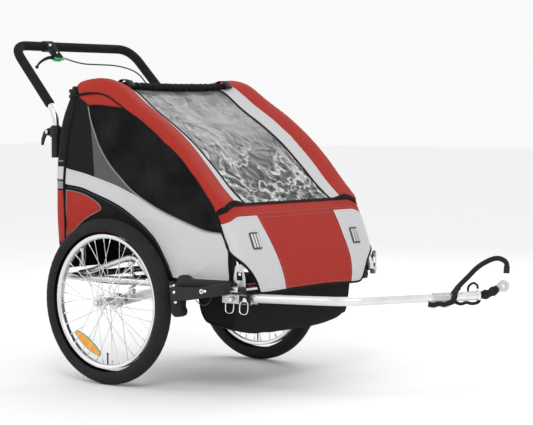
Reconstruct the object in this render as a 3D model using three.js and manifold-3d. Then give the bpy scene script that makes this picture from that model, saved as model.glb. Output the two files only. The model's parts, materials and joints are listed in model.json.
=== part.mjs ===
// Child bicycle trailer: two spoked wheels on sprung trailing arms, a folding tube frame, a fabric cabin,
// a push handle with a brake lever, and a bent tow bar. Millimetres, +X towards the bicycle, +Y left, +Z up.
import * as THREE from "three";
import { mergeVertices } from "three/addons/utils/BufferGeometryUtils.js";
import Module from "manifold-3d";

const wasm = await Module();
wasm.setup();

// ---- driving dimensions ----------------------------------------------------------------------------------
const BOX_CENTRE_X = 333.5; // from the wheel axle forward to the middle of the whole object
const GAP = 0.3; // clearance left between touching pieces

const WHEEL_RADIUS = 250;
const WHEEL_PLANE = 358.5; // half of the track
const TYRE_SECTION = 23.5;
const RIM_OUTER = 202.5;
const RIM_INNER = 189.5;
const SPOKE_COUNT = 36;
const SPOKE_RADIUS = 1.2;
const FLANGE_OFFSET = 30; // from the wheel plane to each hub flange
const FLANGE_RADIUS = 24;
const AXLE_RADIUS = 6;

const RAIL_Y = 312; // side rails
const RAIL_Z = 312;
const RAIL_RADIUS = 10.7;
const RAIL_REAR = -215;
const RAIL_FRONT = 470;
const HOOP_Y = 285; // suspension hoops and springs
const PIVOT = { x: 130, z: 282 }; // trailing arm pivot
const SPRING_X = 32;

const UPRIGHT_Y = 262; // rear frame
const FOLD_HINGE = { x: -200, z: 345 };
const UPRIGHT_TOP = { x: -172, z: 862 };
const TUBE_RADIUS = 9.5;

const HANDLE_Y = 286; // push handle legs
const HANDLE_X = -288;
const TUCK_PIVOT_Z = 690;
const HANDLE_TOP = { x: -494, y: 272, z: 1030 };
const FOAM_RADIUS = 15;
const HANDLE_TUBE_RADIUS = 10.5;

const ROOF_Y = 316; // roof tubes
const ROOF_HINGE = { x: 488, z: 330 };
const SIDE_PANEL_Y = 327; // inner face of the side fabric
const FABRIC = 2.6; // thickness of the fabric solids
const TUB_HALF = 272; // half the width of the underbody tub
const TUB_SAG = 26; // how far the foot well's bottom hangs between its sides
const CABIN_HALF_WIDTH = 326;

const TOW_Y = -330;
const TOW_PIVOT = { x: 530, z: 292.5 };
const LOCK_PIN_X = 478;
const TOW_BEND = { x: 869, z: 304 };
const TOW_END = { x: 1010, y: -130, z: 309 };
const TOW_RADIUS = 12.5;
const COUPLER_BLOCK = 68; // distances from the tow bar's end: the sleeve's front, the block's front, the hook pin
const COUPLER_END = 142;
const HOOK_PIN_AT = 108;
const AXLE_EYE = { x: 1163, z: 341 }; // the bicycle's axle

// The roof's outline seen from the side, from the rear seam over the top to the foot of the windscreen.
const ROOF_LINE = [
  [-190, 890], [-130, 914], [-60, 919], [0, 902], [75, 852], [160, 800], [240, 740], [315, 666], [370, 605],
  [420, 557],
];
// The front panel's outline below it.
const FRONT_LINE = [
  [421, 555], [446, 505], [472, 440], [489, 388], [499, 340], [500, 300],
];
// The luggage pocket's outline behind the rear seam.
const REAR_LINE = [
  [-190, 886], [-229, 814], [-246, 762], [-257, 697], [-263, 640], [-264, 576], [-258, 420], [-240, 334],
];

// ---- materials -------------------------------------------------------------------------------------------
const FINISHES = {
  red_fabric: [0xb8392d, 0.85, 0],
  grey_fabric: [0xd0d0d2, 0.85, 0],
  black_fabric: [0x202124, 0.9, 0],
  clear_vinyl: [0x9a9ea2, 0.2, 0],
  silver: [0xd4d6d8, 0.35, 0.9],
  chrome: [0xe6e7e9, 0.15, 1],
  steel: [0xa9abad, 0.4, 1],
  black_plastic: [0x1c1c1e, 0.55, 0],
  rubber: [0x191919, 0.9, 0],
  foam: [0x1f2022, 0.95, 0],
  amber: [0xf2a032, 0.25, 0],
};

// ---- solids ----------------------------------------------------------------------------------------------
function signedVolume(positions, triangles) {
  const a = new THREE.Vector3();
  const b = new THREE.Vector3();
  const c = new THREE.Vector3();
  let sum = 0;
  for (let i = 0; i < triangles.length; i += 3) {
    a.fromArray(positions, triangles[i] * 3);
    b.fromArray(positions, triangles[i + 1] * 3);
    c.fromArray(positions, triangles[i + 2] * 3);
    sum += a.dot(b.cross(c));
  }
  return sum;
}

// A closed three.js geometry as a Manifold solid with its faces pointing out.
function solid(geometry) {
  const bare = geometry.clone();
  bare.deleteAttribute("normal");
  bare.deleteAttribute("uv");
  const merged = mergeVertices(bare, 1e-3);
  const vertProperties = new Float32Array(merged.attributes.position.array);
  const triVerts = new Uint32Array(merged.index.array);
  if (signedVolume(vertProperties, triVerts) < 0) {
    triVerts.reverse();
  }
  return new wasm.Manifold(new wasm.Mesh({ numProp: 3, vertProperties, triVerts }));
}

function geometryOf(shape) {
  const { vertProperties, triVerts } = shape.getMesh();
  const geometry = new THREE.BufferGeometry();
  geometry.setAttribute("position", new THREE.BufferAttribute(new Float32Array(vertProperties), 3));
  geometry.setIndex(new THREE.BufferAttribute(new Uint32Array(triVerts), 1));
  geometry.computeVertexNormals();
  return geometry;
}

const union = (...shapes) => shapes.reduce((whole, shape) => whole.add(shape));

function box(x0, x1, y0, y1, z0, z1) {
  const geometry = new THREE.BoxGeometry(Math.abs(x1 - x0), Math.abs(y1 - y0), Math.abs(z1 - z0));
  geometry.translate((x0 + x1) / 2, (y0 + y1) / 2, (z0 + z1) / 2);
  return solid(geometry);
}

// A straight round bar between two points.
function bar(from, to, radius, sides = 12) {
  const a = new THREE.Vector3(...from);
  const b = new THREE.Vector3(...to);
  const geometry = new THREE.CylinderGeometry(radius, radius, a.distanceTo(b), sides);
  const turn = new THREE.Quaternion().setFromUnitVectors(new THREE.Vector3(0, 1, 0), b.clone().sub(a).normalize());
  geometry.applyQuaternion(turn);
  geometry.translate((a.x + b.x) / 2, (a.y + b.y) / 2, (a.z + b.z) / 2);
  return solid(geometry);
}

// A curve through a chain of points, sampled exactly at them, for sweeping.
class Route extends THREE.Curve {
  constructor(points) {
    super();
    this.points = points;
  }

  getPoint(t, target = new THREE.Vector3()) {
    const place = t * (this.points.length - 1);
    const index = Math.min(Math.floor(place), this.points.length - 2);
    return target.lerpVectors(this.points[index], this.points[index + 1], place - index);
  }

  getPointAt(t, target) {
    return this.getPoint(t, target);
  }

  getTangentAt(t, target = new THREE.Vector3()) {
    const index = Math.round(t * (this.points.length - 1));
    const before = this.points[Math.max(index - 1, 0)];
    const after = this.points[Math.min(index + 1, this.points.length - 1)];
    return target.subVectors(after, before).normalize();
  }
}

// Corner points joined by straight lines, each corner rounded over the given distance, or over its own fourth value.
function rounded(corners, distance = 40, steps = 4) {
  const points = corners.map(([x, y, z]) => new THREE.Vector3(x, y, z));
  const chain = [points[0]];
  for (let i = 1; i < points.length - 1; i += 1) {
    const room = Math.min(
      corners[i][3] ?? distance, points[i].distanceTo(points[i - 1]) * 0.45, points[i].distanceTo(points[i + 1]) * 0.45,
    );
    const start = points[i].clone().add(points[i - 1].clone().sub(points[i]).setLength(room));
    const end = points[i].clone().add(points[i + 1].clone().sub(points[i]).setLength(room));
    chain.push(...new THREE.QuadraticBezierCurve3(start, points[i], end).getPoints(steps));
  }
  chain.push(points[points.length - 1]);
  return chain;
}

function smooth(points, count) {
  return new THREE.CatmullRomCurve3(points.map((point) => new THREE.Vector3(...point)), false, "centripetal")
    .getPoints(count);
}

function ring(radius, sides) {
  return Array.from({ length: sides }, (_, i) => {
    const angle = (i / sides) * 2 * Math.PI;
    return new THREE.Vector2(radius * Math.cos(angle), radius * Math.sin(angle));
  });
}

// A round tube, or a sleeve when bore is given, along a chain of points.
function tube(chain, radius, sides = 10, bore = 0) {
  const section = new THREE.Shape(ring(radius, sides));
  if (bore > 0) {
    section.holes.push(new THREE.Path(ring(bore, sides)));
  }
  return solid(new THREE.ExtrudeGeometry(section, {
    steps: chain.length - 1, bevelEnabled: false, extrudePath: new Route(chain),
  }));
}

// An outline in the X-Z plane as a plate between two Y values.
function plate(outline, y0, y1, holes = []) {
  const points = outline.map(([x, z]) => new THREE.Vector2(x, z));
  const shape = new THREE.Shape(THREE.ShapeUtils.isClockWise(points) ? points.reverse() : points);
  for (const hole of holes) {
    shape.holes.push(new THREE.Path(hole.map(([x, z]) => new THREE.Vector2(x, z))));
  }
  const geometry = new THREE.ExtrudeGeometry(shape, { depth: Math.abs(y1 - y0), bevelEnabled: false });
  geometry.rotateX(Math.PI / 2);
  geometry.translate(0, Math.max(y0, y1), 0);
  return solid(geometry);
}

// A profile of [radius, y] turned about the line along Y through (x, z).
function turned(profile, x, z, sides = 24) {
  const geometry = new THREE.LatheGeometry(profile.map(([r, y]) => new THREE.Vector2(r, y)), sides);
  geometry.translate(x, 0, z);
  return solid(geometry);
}

function splineOutline(points, count) {
  const curve = new THREE.SplineCurve(points.map(([x, z]) => new THREE.Vector2(x, z)));
  return curve.getPoints(count).map((point) => [point.x, point.y]);
}

// The same line moved sideways by a distance, positive to the left of its direction.
function offsetLine(line, distance) {
  return line.map(([x, z], i) => {
    const before = line[Math.max(i - 1, 0)];
    const after = line[Math.min(i + 1, line.length - 1)];
    const along = new THREE.Vector2(after[0] - before[0], after[1] - before[1]).normalize();
    return [x - along.y * distance, z + along.x * distance];
  });
}

// A curved sheet whose edge-on profile is a line in the X-Z plane; it lies under the line's left side.
function sheet(line, thickness, y0, y1) {
  return plate([...line, ...offsetLine(line, thickness).reverse()], y0, y1);
}

// A closed body through rings of one size, each an outer edge and then the inner edge back.
function lofted(rings) {
  const size = rings[0].length;
  const indices = [];
  const quad = (a, b, c, d) => indices.push(a, b, c, a, c, d);
  for (let i = 0; i < rings.length - 1; i += 1) {
    for (let j = 0; j < size; j += 1) {
      const k = (j + 1) % size;
      quad(size * i + j, size * i + k, size * i + size + k, size * i + size + j);
    }
  }
  const last = size * (rings.length - 1);
  for (let i = 0; i < size / 2 - 1; i += 1) {
    quad(size - 1 - i, size - 2 - i, i + 1, i);
    quad(last + i, last + i + 1, last + size - 2 - i, last + size - 1 - i);
  }
  const geometry = new THREE.BufferGeometry();
  geometry.setAttribute("position", new THREE.Float32BufferAttribute(rings.flat(2), 3));
  geometry.setIndex(indices);
  return solid(geometry);
}

function mirrored(shape, side) {
  return side > 0 ? shape.mirror([0, 1, 0]) : shape;
}

// ---- wheels ----------------------------------------------------------------------------------------------
function tyre() {
  const centre = WHEEL_RADIUS - TYRE_SECTION;
  const arc = (radius, steps) => Array.from({ length: steps + 1 }, (_, i) => {
    const angle = Math.PI * (-0.72 + (1.44 * i) / steps);
    return [centre + radius * Math.cos(angle), -WHEEL_PLANE + radius * Math.sin(angle)];
  });
  const profile = [...arc(TYRE_SECTION, 6), ...arc(TYRE_SECTION - 3.5, 4).reverse()];
  profile.push(profile[0]);
  return turned(profile, 0, WHEEL_RADIUS, 36);
}

function rim() {
  const half = 12;
  const profile = [
    [RIM_OUTER, half], [RIM_OUTER - 5, half - 3], [RIM_OUTER - 5, 3 - half], [RIM_OUTER, -half],
    [RIM_INNER + 4, 2 - half], [RIM_INNER, -5], [RIM_INNER, 5], [RIM_INNER + 4, half - 2],
  ].map(([r, y]) => [r, y - WHEEL_PLANE]);
  profile.push(profile[0]);
  return turned(profile, 0, WHEEL_RADIUS, 36);
}

function hubShell() {
  const y = (offset) => -WHEEL_PLANE + offset;
  const bore = AXLE_RADIUS + 0.5;
  const out = -FLANGE_OFFSET;
  const profile = [
    [bore, y(out - 14)], [11, y(out - 14)], [13, y(out - 4)], [13, y(out - 2)], [FLANGE_RADIUS, y(out - 1.6)],
    [FLANGE_RADIUS, y(out + 1.6)], [14, y(out + 3)], [12, y(-10)], [12, y(10)], [14, y(-out - 3)],
    [FLANGE_RADIUS, y(-out - 1.6)], [FLANGE_RADIUS, y(-out + 5)], [21, y(-out + 24)], [bore, y(-out + 24)],
    [bore, y(out - 14)],
  ];
  return turned(profile, 0, WHEEL_RADIUS, 14);
}

function hubWithSpokes() {
  const perSide = SPOKE_COUNT / 2;
  const lean = 0.9; // angle between a spoke's hub end and rim end
  let whole = hubShell();
  for (let i = 0; i < SPOKE_COUNT; i += 1) {
    const side = i % 2 === 0 ? -1 : 1;
    const step = Math.floor(i / 2);
    const rimAngle = ((i + 0.5) / SPOKE_COUNT) * 2 * Math.PI;
    const hubAngle = rimAngle + (step % 2 === 0 ? lean : -lean) + Math.PI / perSide / 2;
    const hubRadius = FLANGE_RADIUS - 3;
    const hubY = -WHEEL_PLANE + side * (FLANGE_OFFSET + (step % 2 === 0 ? 1.7 : -1.7));
    const tip = RIM_INNER - 1;
    whole = whole.add(bar(
      [hubRadius * Math.cos(hubAngle), hubY, WHEEL_RADIUS + hubRadius * Math.sin(hubAngle)],
      [tip * Math.cos(rimAngle), -WHEEL_PLANE + side * 2.5, WHEEL_RADIUS + tip * Math.sin(rimAngle)],
      SPOKE_RADIUS, 4,
    ));
  }
  return whole;
}

function wheelReflector() {
  const angle = THREE.MathUtils.degToRad(238);
  const [radius, reach, width] = [156, 55, 14];
  const edge = (t, side) => {
    const across = radius + side * width * (1 - 0.6 * Math.abs(t) ** 2.2);
    return [
      across * Math.cos(angle) - reach * t * Math.sin(angle),
      WHEEL_RADIUS + across * Math.sin(angle) + reach * t * Math.cos(angle),
    ];
  };
  const steps = [-1, -0.75, -0.5, -0.25, 0, 0.25, 0.5, 0.75, 1];
  const outline = [...steps.map((t) => edge(t, 1)), ...steps.map((t) => edge(-t, -1))];
  return plate(outline, -WHEEL_PLANE - 2, -WHEEL_PLANE + 2);
}

// ---- chassis ---------------------------------------------------------------------------------------------
function sideRail() {
  return bar([RAIL_REAR, -RAIL_Y, RAIL_Z], [RAIL_FRONT, -RAIL_Y, RAIL_Z], RAIL_RADIUS, 14);
}

function suspensionHoop() {
  const corners = [[-186, 320], [-140, 329], [25, 381], [56, 377], [118, 316]];
  return tube(rounded(corners.map(([x, z]) => [x, -HOOP_Y, z]), 24, 2), TUBE_RADIUS, 10);
}

function trailingArm() {
  const outline = [
    [PIVOT.x + 14, PIVOT.z - 4], [PIVOT.x + 8, PIVOT.z + 12], [PIVOT.x - 20, PIVOT.z + 8], [SPRING_X + 14, 271],
    [SPRING_X - 16, 269], [-14, 262], [-14, 238], [10, 236], [PIVOT.x - 10, PIVOT.z - 17], [PIVOT.x + 8, PIVOT.z - 15],
  ];
  const axle = turned(
    [[0, -WHEEL_PLANE - 52], [9.5, -WHEEL_PLANE - 52], [9.5, -WHEEL_PLANE - 45], [AXLE_RADIUS, -WHEEL_PLANE - 45],
      [AXLE_RADIUS, -280], [0, -280]],
    0, WHEEL_RADIUS, 14,
  );
  return union(plate(outline, -297, -277), axle);
}

// A coil spring with flat end rings joined by its damper rod, so that it is one piece.
function suspensionSpring() {
  const bottom = 272;
  const top = 368;
  const turns = 5;
  const coil = [];
  for (let i = 0; i <= turns * 8; i += 1) {
    const angle = (i / 8) * 2 * Math.PI;
    coil.push(new THREE.Vector3(
      SPRING_X + 9.6 * Math.cos(angle), -HOOP_Y + 9.6 * Math.sin(angle),
      bottom + 6 + ((top - bottom - 12) * i) / (turns * 8),
    ));
  }
  const rod = bar([SPRING_X, -HOOP_Y, bottom], [SPRING_X, -HOOP_Y, top], 4, 10);
  const lower = bar([SPRING_X, -HOOP_Y, bottom], [SPRING_X, -HOOP_Y, bottom + 7.5], 12, 16);
  const upper = bar([SPRING_X, -HOOP_Y, top - 7.5], [SPRING_X, -HOOP_Y, top], 12, 16);
  return union(tube(coil, 2, 5), rod, lower, upper);
}

function sideGuard() {
  const beam = plate([
    [281, 276], [296, 272], [344, 278], [386, 286], [488, 302], [485, 336], [447, 331], [386, 318], [281, 314],
  ], -392, -366);
  const lip = plate([
    [287, 306], [287, 333], [294, 344], [311, 348], [328, 345], [340, 338], [462, 340], [480, 339], [480, 312],
    [386, 300],
  ], -369, -348);
  const foot = plate([[278, 285], [280, 235], [292, 226], [316, 231], [322, 240], [315, 255], [317, 285]], -386, -358);
  const dimple = bar([297, -393, 299], [297, -388, 299], 6, 12);
  return union(beam, lip, foot).subtract(dimple);
}

function cornerBracket() {
  const outline = [[474, 313], [474, 346], [480, 378], [486, 386], [500, 386], [506, 378], [514, 346], [514, 313]];
  const slot = [[486, 347], [486, 366], [494, 366], [494, 347]];
  const body = plate(outline, -336.5, -331.5, [slot]);
  const hingeBolt = bar([ROOF_HINGE.x, -340, ROOF_HINGE.z], [ROOF_HINGE.x, -326.2, ROOF_HINGE.z], 7, 12);
  const upperBolt = bar([500, -340, 358], [500, -334, 358], 4.5, 10);
  return union(body, hingeBolt, upperBolt);
}

// Two cheeks joined behind the tow bar's heel, with a bore for each pin.
function towSocket() {
  const cheek = (y0, y1) => box(440, 545, y0, y1, 275, 300);
  const web = box(440, 452, -346, -314, 275, 300);
  const bores = [TOW_PIVOT.x, LOCK_PIN_X].map(
    (x) => bar([x, -380, TOW_PIVOT.z - 4], [x, -280, TOW_PIVOT.z - 4], 4.4, 12),
  );
  return union(cheek(-346, -341), cheek(-319, -314), web).subtract(bores[0]).subtract(bores[1]);
}

// A round pin pushed in from the outer side, with a wire bail hanging from its head.
function ringPin(x) {
  const z = TOW_PIVOT.z - 4;
  const shank = bar([x, -351, z], [x, -309, z], 4, 12);
  const head = bar([x, -356, z], [x, -350, z], 6.5, 12);
  const bail = tube(rounded([
    [x - 2, -354, z], [x - 15, -358, z - 8], [x - 15, -360, z - 40], [x + 15, -360, z - 40],
    [x + 15, -358, z - 8], [x + 2, -354, z],
  ], 14, 3), 1.5, 6);
  return union(shank, head, bail);
}

function towBar() {
  const z = TOW_PIVOT.z - 4;
  const main = tube(rounded([
    [553, TOW_Y, TOW_PIVOT.z], [TOW_BEND.x, TOW_Y, TOW_BEND.z], [TOW_END.x, TOW_END.y, TOW_END.z],
  ], 60, 5), TOW_RADIUS, 14);
  const tongue = box(TOW_PIVOT.x, 566, TOW_Y - 8, TOW_Y + 8, z - 9, z + 9);
  const eye = bar([TOW_PIVOT.x, TOW_Y - 8, z], [TOW_PIVOT.x, TOW_Y + 8, z], 9, 16);
  const bore = bar([TOW_PIVOT.x, -380, z], [TOW_PIVOT.x, -280, z], 4.4, 12);
  return union(main, tongue, eye).subtract(bore);
}

// ---- hitch -----------------------------------------------------------------------------------------------
const HITCH_AXIS = new THREE.Vector3(TOW_END.x - TOW_BEND.x, TOW_END.y - TOW_Y, TOW_END.z - TOW_BEND.z).normalize();

// A point at a distance along the tow bar's end, raised and moved out to its right.
function atHitch(distance, up = 0, right = 0) {
  const across = new THREE.Vector3(HITCH_AXIS.y, -HITCH_AXIS.x, 0).normalize();
  return new THREE.Vector3(TOW_END.x, TOW_END.y, TOW_END.z + up)
    .addScaledVector(HITCH_AXIS, distance).addScaledVector(across, right).toArray();
}

function coupler() {
  const sleeve = bar(atHitch(GAP), atHitch(COUPLER_BLOCK + 2), 13.4, 16);
  const block = bar(atHitch(COUPLER_BLOCK), atHitch(COUPLER_END), 14.4, 16);
  const bore = bar(atHitch(HOOK_PIN_AT, 6), atHitch(HOOK_PIN_AT, 24), 2.3, 10);
  return union(sleeve, block).subtract(bore);
}

// A bent wire that drops into the coupler and springs over its end.
function hookPin() {
  const hook = rounded([
    atHitch(HOOK_PIN_AT, 8), atHitch(HOOK_PIN_AT, 26), atHitch(HOOK_PIN_AT + 16, 36), atHitch(HOOK_PIN_AT + 28, 28),
    atHitch(HOOK_PIN_AT + 29, 18),
  ], 9, 3);
  return tube(hook, 2, 8);
}

// The rubber joint turns from the tow bar's line to the bicycle's, and up to its axle.
function flexJoint() {
  const start = atHitch(COUPLER_END + 1);
  const chain = smooth([
    start, atHitch(COUPLER_END + 3), atHitch(COUPLER_END + 9), [1107, -3.5, 314], [1118, -2.5, 318],
    [1130, -2.5, 324.5], [1143, -2.5, 332],
  ], 10);
  const core = tube(chain, 10.5, 10);
  const rearBulge = tube(chain.slice(2, 5), 13.5, 10);
  const frontBulge = tube(chain.slice(7, 9), 13, 10);
  return union(core, rearBulge, frontBulge);
}

// The plate that the bicycle's rear axle clamps, standing parallel to the bicycle's wheel.
function axlePlate() {
  const { x, z } = AXLE_EYE;
  const neck = plate([[1149.2, 324], [x, z - 14], [x - 8, z + 14], [1139.6, 341.2]], -6, 0);
  const round = ring(17, 20).map((point) => [x + point.x, z + point.y]);
  const eye = ring(5.2, 16).map((point) => [x + point.x, z + point.y]);
  return union(neck, plate(round, -6, 0)).subtract(plate(eye, -10, 10));
}

// A stiff webbing strap from its tail under the coupler, round the sleeve and over to the rubber joint's end.
function safetyStrap() {
  const chain = smooth([
    atHitch(-12, -19), atHitch(20, -20), atHitch(48, -19.5), atHitch(60, -13, 15), atHitch(62, 2, 20),
    [1060, -84, 329], [1071, -74, 347], [1083, -57, 366], [1098, -38, 389], [1115, -20, 405], [1135, -8, 415],
    [1152, -2, 415], [1167, 0, 407], [1171, 0, 394], [1170, -1, 378],
  ], 26);
  return tube(chain, 4, 8);
}

// ---- rear frame and push handle --------------------------------------------------------------------------
function upright() {
  const post = tube(rounded([
    [FOLD_HINGE.x, -UPRIGHT_Y, FOLD_HINGE.z - 6], [UPRIGHT_TOP.x - 3, -UPRIGHT_Y, 800],
    [UPRIGHT_TOP.x, -UPRIGHT_Y, UPRIGHT_TOP.z + 8],
  ], 30, 2), TUBE_RADIUS, 12);
  const bracket = plate([
    [-182, 706], [-182, 732], [-262, 722], [HANDLE_X - 4, TUCK_PIVOT_Z + 9], [HANDLE_X - 9, TUCK_PIVOT_Z],
    [HANDLE_X - 4, TUCK_PIVOT_Z - 9], [HANDLE_X + 6, TUCK_PIVOT_Z - 9], [-262, 700],
  ], -UPRIGHT_Y - 3, -UPRIGHT_Y + 3);
  const pin = bar([HANDLE_X, -UPRIGHT_Y, TUCK_PIVOT_Z], [HANDLE_X, -HANDLE_Y + 15, TUCK_PIVOT_Z], 6, 12);
  return union(post, bracket, pin);
}

function cornerKnob() {
  const outline = [];
  const lobes = 8;
  for (let i = 0; i < lobes * 2; i += 1) {
    const angle = (i / (lobes * 2)) * 2 * Math.PI;
    const radius = i % 2 === 0 ? 19.5 : 14.5;
    outline.push(new THREE.Vector2(radius * Math.cos(angle), radius * Math.sin(angle)));
  }
  const geometry = new THREE.ExtrudeGeometry(new THREE.Shape(outline), { depth: 15, bevelEnabled: false });
  geometry.rotateY(-Math.PI / 2);
  geometry.translate(-196, -283, 874);
  return solid(geometry);
}

function handleSocket() {
  const low = TUCK_PIVOT_Z - 14;
  const tubePart = tube([
    new THREE.Vector3(HANDLE_X, -HANDLE_Y, low), new THREE.Vector3(HANDLE_X, -HANDLE_Y, 776),
  ], 14, 14, HANDLE_TUBE_RADIUS + GAP);
  const collar = tube([
    new THREE.Vector3(HANDLE_X, -HANDLE_Y, 740), new THREE.Vector3(HANDLE_X, -HANDLE_Y, 772),
  ], 18.5, 14, 13);
  const ears = box(HANDLE_X - 31, HANDLE_X - 16, -HANDLE_Y - 7, -HANDLE_Y + 7, 744, 768);
  const cross = bar([HANDLE_X - 25, -HANDLE_Y - 20, 756], [HANDLE_X - 25, -HANDLE_Y + 20, 756], 4.4, 12);
  return union(tubePart, collar, ears).subtract(cross);
}

function clampLever() {
  const x = HANDLE_X - 25;
  const rod = bar([x, -HANDLE_Y - 13, 756], [x, -HANDLE_Y + 13, 756], 4, 12);
  const nut = bar([x, -HANDLE_Y + 8, 756], [x, -HANDLE_Y + 15, 756], 7, 8);
  const cam = bar([x, -HANDLE_Y - 7.6, 756], [x, -HANDLE_Y - 15, 756], 8.5, 12);
  const blade = plate([
    [x - 4, 764], [x - 14, 758], [x - 24, 736], [x - 26, 716], [x - 20, 714], [x - 12, 734], [x - 2, 750],
  ], -HANDLE_Y - 9, -HANDLE_Y - 15);
  return union(rod, nut, cam, blade);
}

const HANDLE_CORNERS = [
  [HANDLE_X, -HANDLE_Y, TUCK_PIVOT_Z + 12], [HANDLE_X, -HANDLE_Y, 814, 36],
  [HANDLE_TOP.x, -HANDLE_TOP.y, HANDLE_TOP.z], [HANDLE_TOP.x, HANDLE_TOP.y, HANDLE_TOP.z],
  [HANDLE_X, HANDLE_Y, 814, 36], [HANDLE_X, HANDLE_Y, TUCK_PIVOT_Z + 12],
];

const handleTube = () => tube(rounded(HANDLE_CORNERS, 62, 4), HANDLE_TUBE_RADIUS, 12);

// The foam covers the crossbar and both arms down to the bends.
function handleFoam() {
  const [, bend, corner] = HANDLE_CORNERS.map(([x, y, z]) => new THREE.Vector3(x, y, z));
  const arm = corner.clone().lerp(bend, 0.88);
  const mirror = (point) => [point.x, -point.y, point.z];
  const chain = rounded([arm.toArray(), corner.toArray(), mirror(corner), mirror(arm)], 62, 4);
  return tube(chain, FOAM_RADIUS, 12, HANDLE_TUBE_RADIUS + GAP);
}

const LEVER_Y = -100;

function leverMount() {
  const { x, z } = HANDLE_TOP;
  const strap = tube([new THREE.Vector3(x, LEVER_Y - 12, z), new THREE.Vector3(x, LEVER_Y + 12, z)],
    FOAM_RADIUS + 4, 16, FOAM_RADIUS + GAP);
  const body = box(x - 7, x + 11, LEVER_Y - 12, LEVER_Y + 34, z - 37, z - 16);
  const notch = box(x - 3.4, x + 3.4, LEVER_Y - 20, LEVER_Y + 16, z - 40, z - 22);
  const adjuster = bar([x + 5, LEVER_Y + 30, z - 33], [x + 10, LEVER_Y + 52, z - 37], 5, 12);
  return union(strap, body.subtract(notch), adjuster);
}

function brakeLever() {
  const { x, z } = HANDLE_TOP;
  const blade = tube(smooth([
    [x, LEVER_Y + 8, z - 30], [x, LEVER_Y - 18, z - 33], [x + 1, LEVER_Y - 44, z - 48], [x + 2, LEVER_Y - 62, z - 62],
  ], 8), 3.1, 8);
  const ball = new THREE.SphereGeometry(7, 12, 8);
  ball.translate(x + 2, LEVER_Y - 64, z - 64);
  return union(blade, solid(ball));
}

// The cable leaves the adjuster, hangs to the left arm and runs down its inner side to the left socket.
const UPPER_CABLE = [
  [-484, -46, 992.7], [-483, -20, 986], [-475, 30, 977], [-463, 90, 975], [-450, 150, 973], [-438, 205, 963],
  [-425, 242, 945], [-408, 259, 916], [-385, 264, 888], [-350, 266, 856], [-318, 268, 826], [-310, 268, 800],
  [-309, 268, 782],
];
// From the left socket down the upright, to the middle of the rear crossbar and out to the left arm.
const LOWER_CABLE = [
  [-309, 262, 778], [-308, 252, 760], [-292, 238, 735], [-250, 236, 716], [-205, 238, 690], [-192, 240, 640],
  [-200, 240, 520], [-212, 240, 420], [-221, 238, 345], [-222, 238, 305], [-204, 238, 280], [-150, 240, 268],
  [-60, 256, 256], [-18, 268, 250],
];

// ---- roof and cabin --------------------------------------------------------------------------------------
const roofLine = splineOutline(ROOF_LINE, 15);
const frontLine = splineOutline(FRONT_LINE, 8);

function roofTube() {
  const inner = offsetLine(roofLine, -(TUBE_RADIUS + FABRIC + 1)).slice(1, -1);
  const chain = inner.map(([x, z]) => new THREE.Vector3(x, -ROOF_Y, z));
  const foot = smooth([
    [inner.at(-1)[0], -ROOF_Y, inner.at(-1)[1]], [438, -ROOF_Y, 480], [466, -ROOF_Y, 400],
    [ROOF_HINGE.x - 2, -ROOF_Y, 350], [ROOF_HINGE.x, -ROOF_Y, ROOF_HINGE.z],
  ], 6);
  return tube([...chain, ...foot.slice(1)], TUBE_RADIUS, 10);
}

const WINDOW_FIRST = 4; // the roof line's point where the windscreen starts
const WINDOW_HALF_WIDTH = 213.4;
const BAND_INNER = 256; // inner edge of the side bands, where the roof starts to dip

// How far the roof's middle lies under its side bands, along the roof from 0 to 1.
function dip(s) {
  const start = THREE.MathUtils.smoothstep(s, 0, 0.1);
  return 12 * start + 21 * Math.sin(Math.PI * s ** 0.9) ** 0.8;
}

const middleLine = roofLine.map((point, i) => {
  const depth = dip(i / (roofLine.length - 1));
  return offsetLine(roofLine, -depth)[i];
});

// The slope between a side band and the dipped middle.
function roofSlope(side) {
  const y = (value) => side * value;
  const rings = roofLine.map((top, i) => {
    const low = middleLine[i];
    const under = offsetLine(roofLine, -FABRIC)[i];
    const lowUnder = offsetLine(middleLine, -FABRIC)[i];
    return [
      [top[0], y(BAND_INNER + 2), top[1]], [low[0], y(WINDOW_HALF_WIDTH + 0.6), low[1]],
      [lowUnder[0], y(WINDOW_HALF_WIDTH + 0.6), lowUnder[1]], [under[0], y(BAND_INNER + 2), under[1]],
    ];
  });
  return lofted(rings);
}

// The roof sheet behind the windscreen, one band down each side of it, and the bands' side skirts.
function roofCover() {
  const top = sheet(roofLine, -FABRIC, -CABIN_HALF_WIDTH, CABIN_HALF_WIDTH);
  const opening = box(-400, 700, -BAND_INNER, BAND_INNER, 500, 1000);
  const middle = sheet(middleLine.slice(0, WINDOW_FIRST + 1), -FABRIC, -WINDOW_HALF_WIDTH - 2, WINDOW_HALF_WIDTH + 2);
  const lower = offsetLine(roofLine, -46);
  const skirt = plate([...roofLine, ...lower.reverse()], -CABIN_HALF_WIDTH - FABRIC, -CABIN_HALF_WIDTH + 0.2);
  const knobRoom = box(-230, -178, -400, 400, 800, 888);
  return union(top.subtract(opening), roofSlope(-1), roofSlope(1), middle, skirt, mirrored(skirt, 1)).subtract(knobRoom);
}

function windowPane() {
  const rear = middleLine[WINDOW_FIRST][0] + 1;
  const pane = sheet(middleLine.slice(WINDOW_FIRST), -FABRIC, -WINDOW_HALF_WIDTH, WINDOW_HALF_WIDTH);
  return pane.subtract(box(-400, rear, -400, 400, 500, 1000));
}

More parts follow.
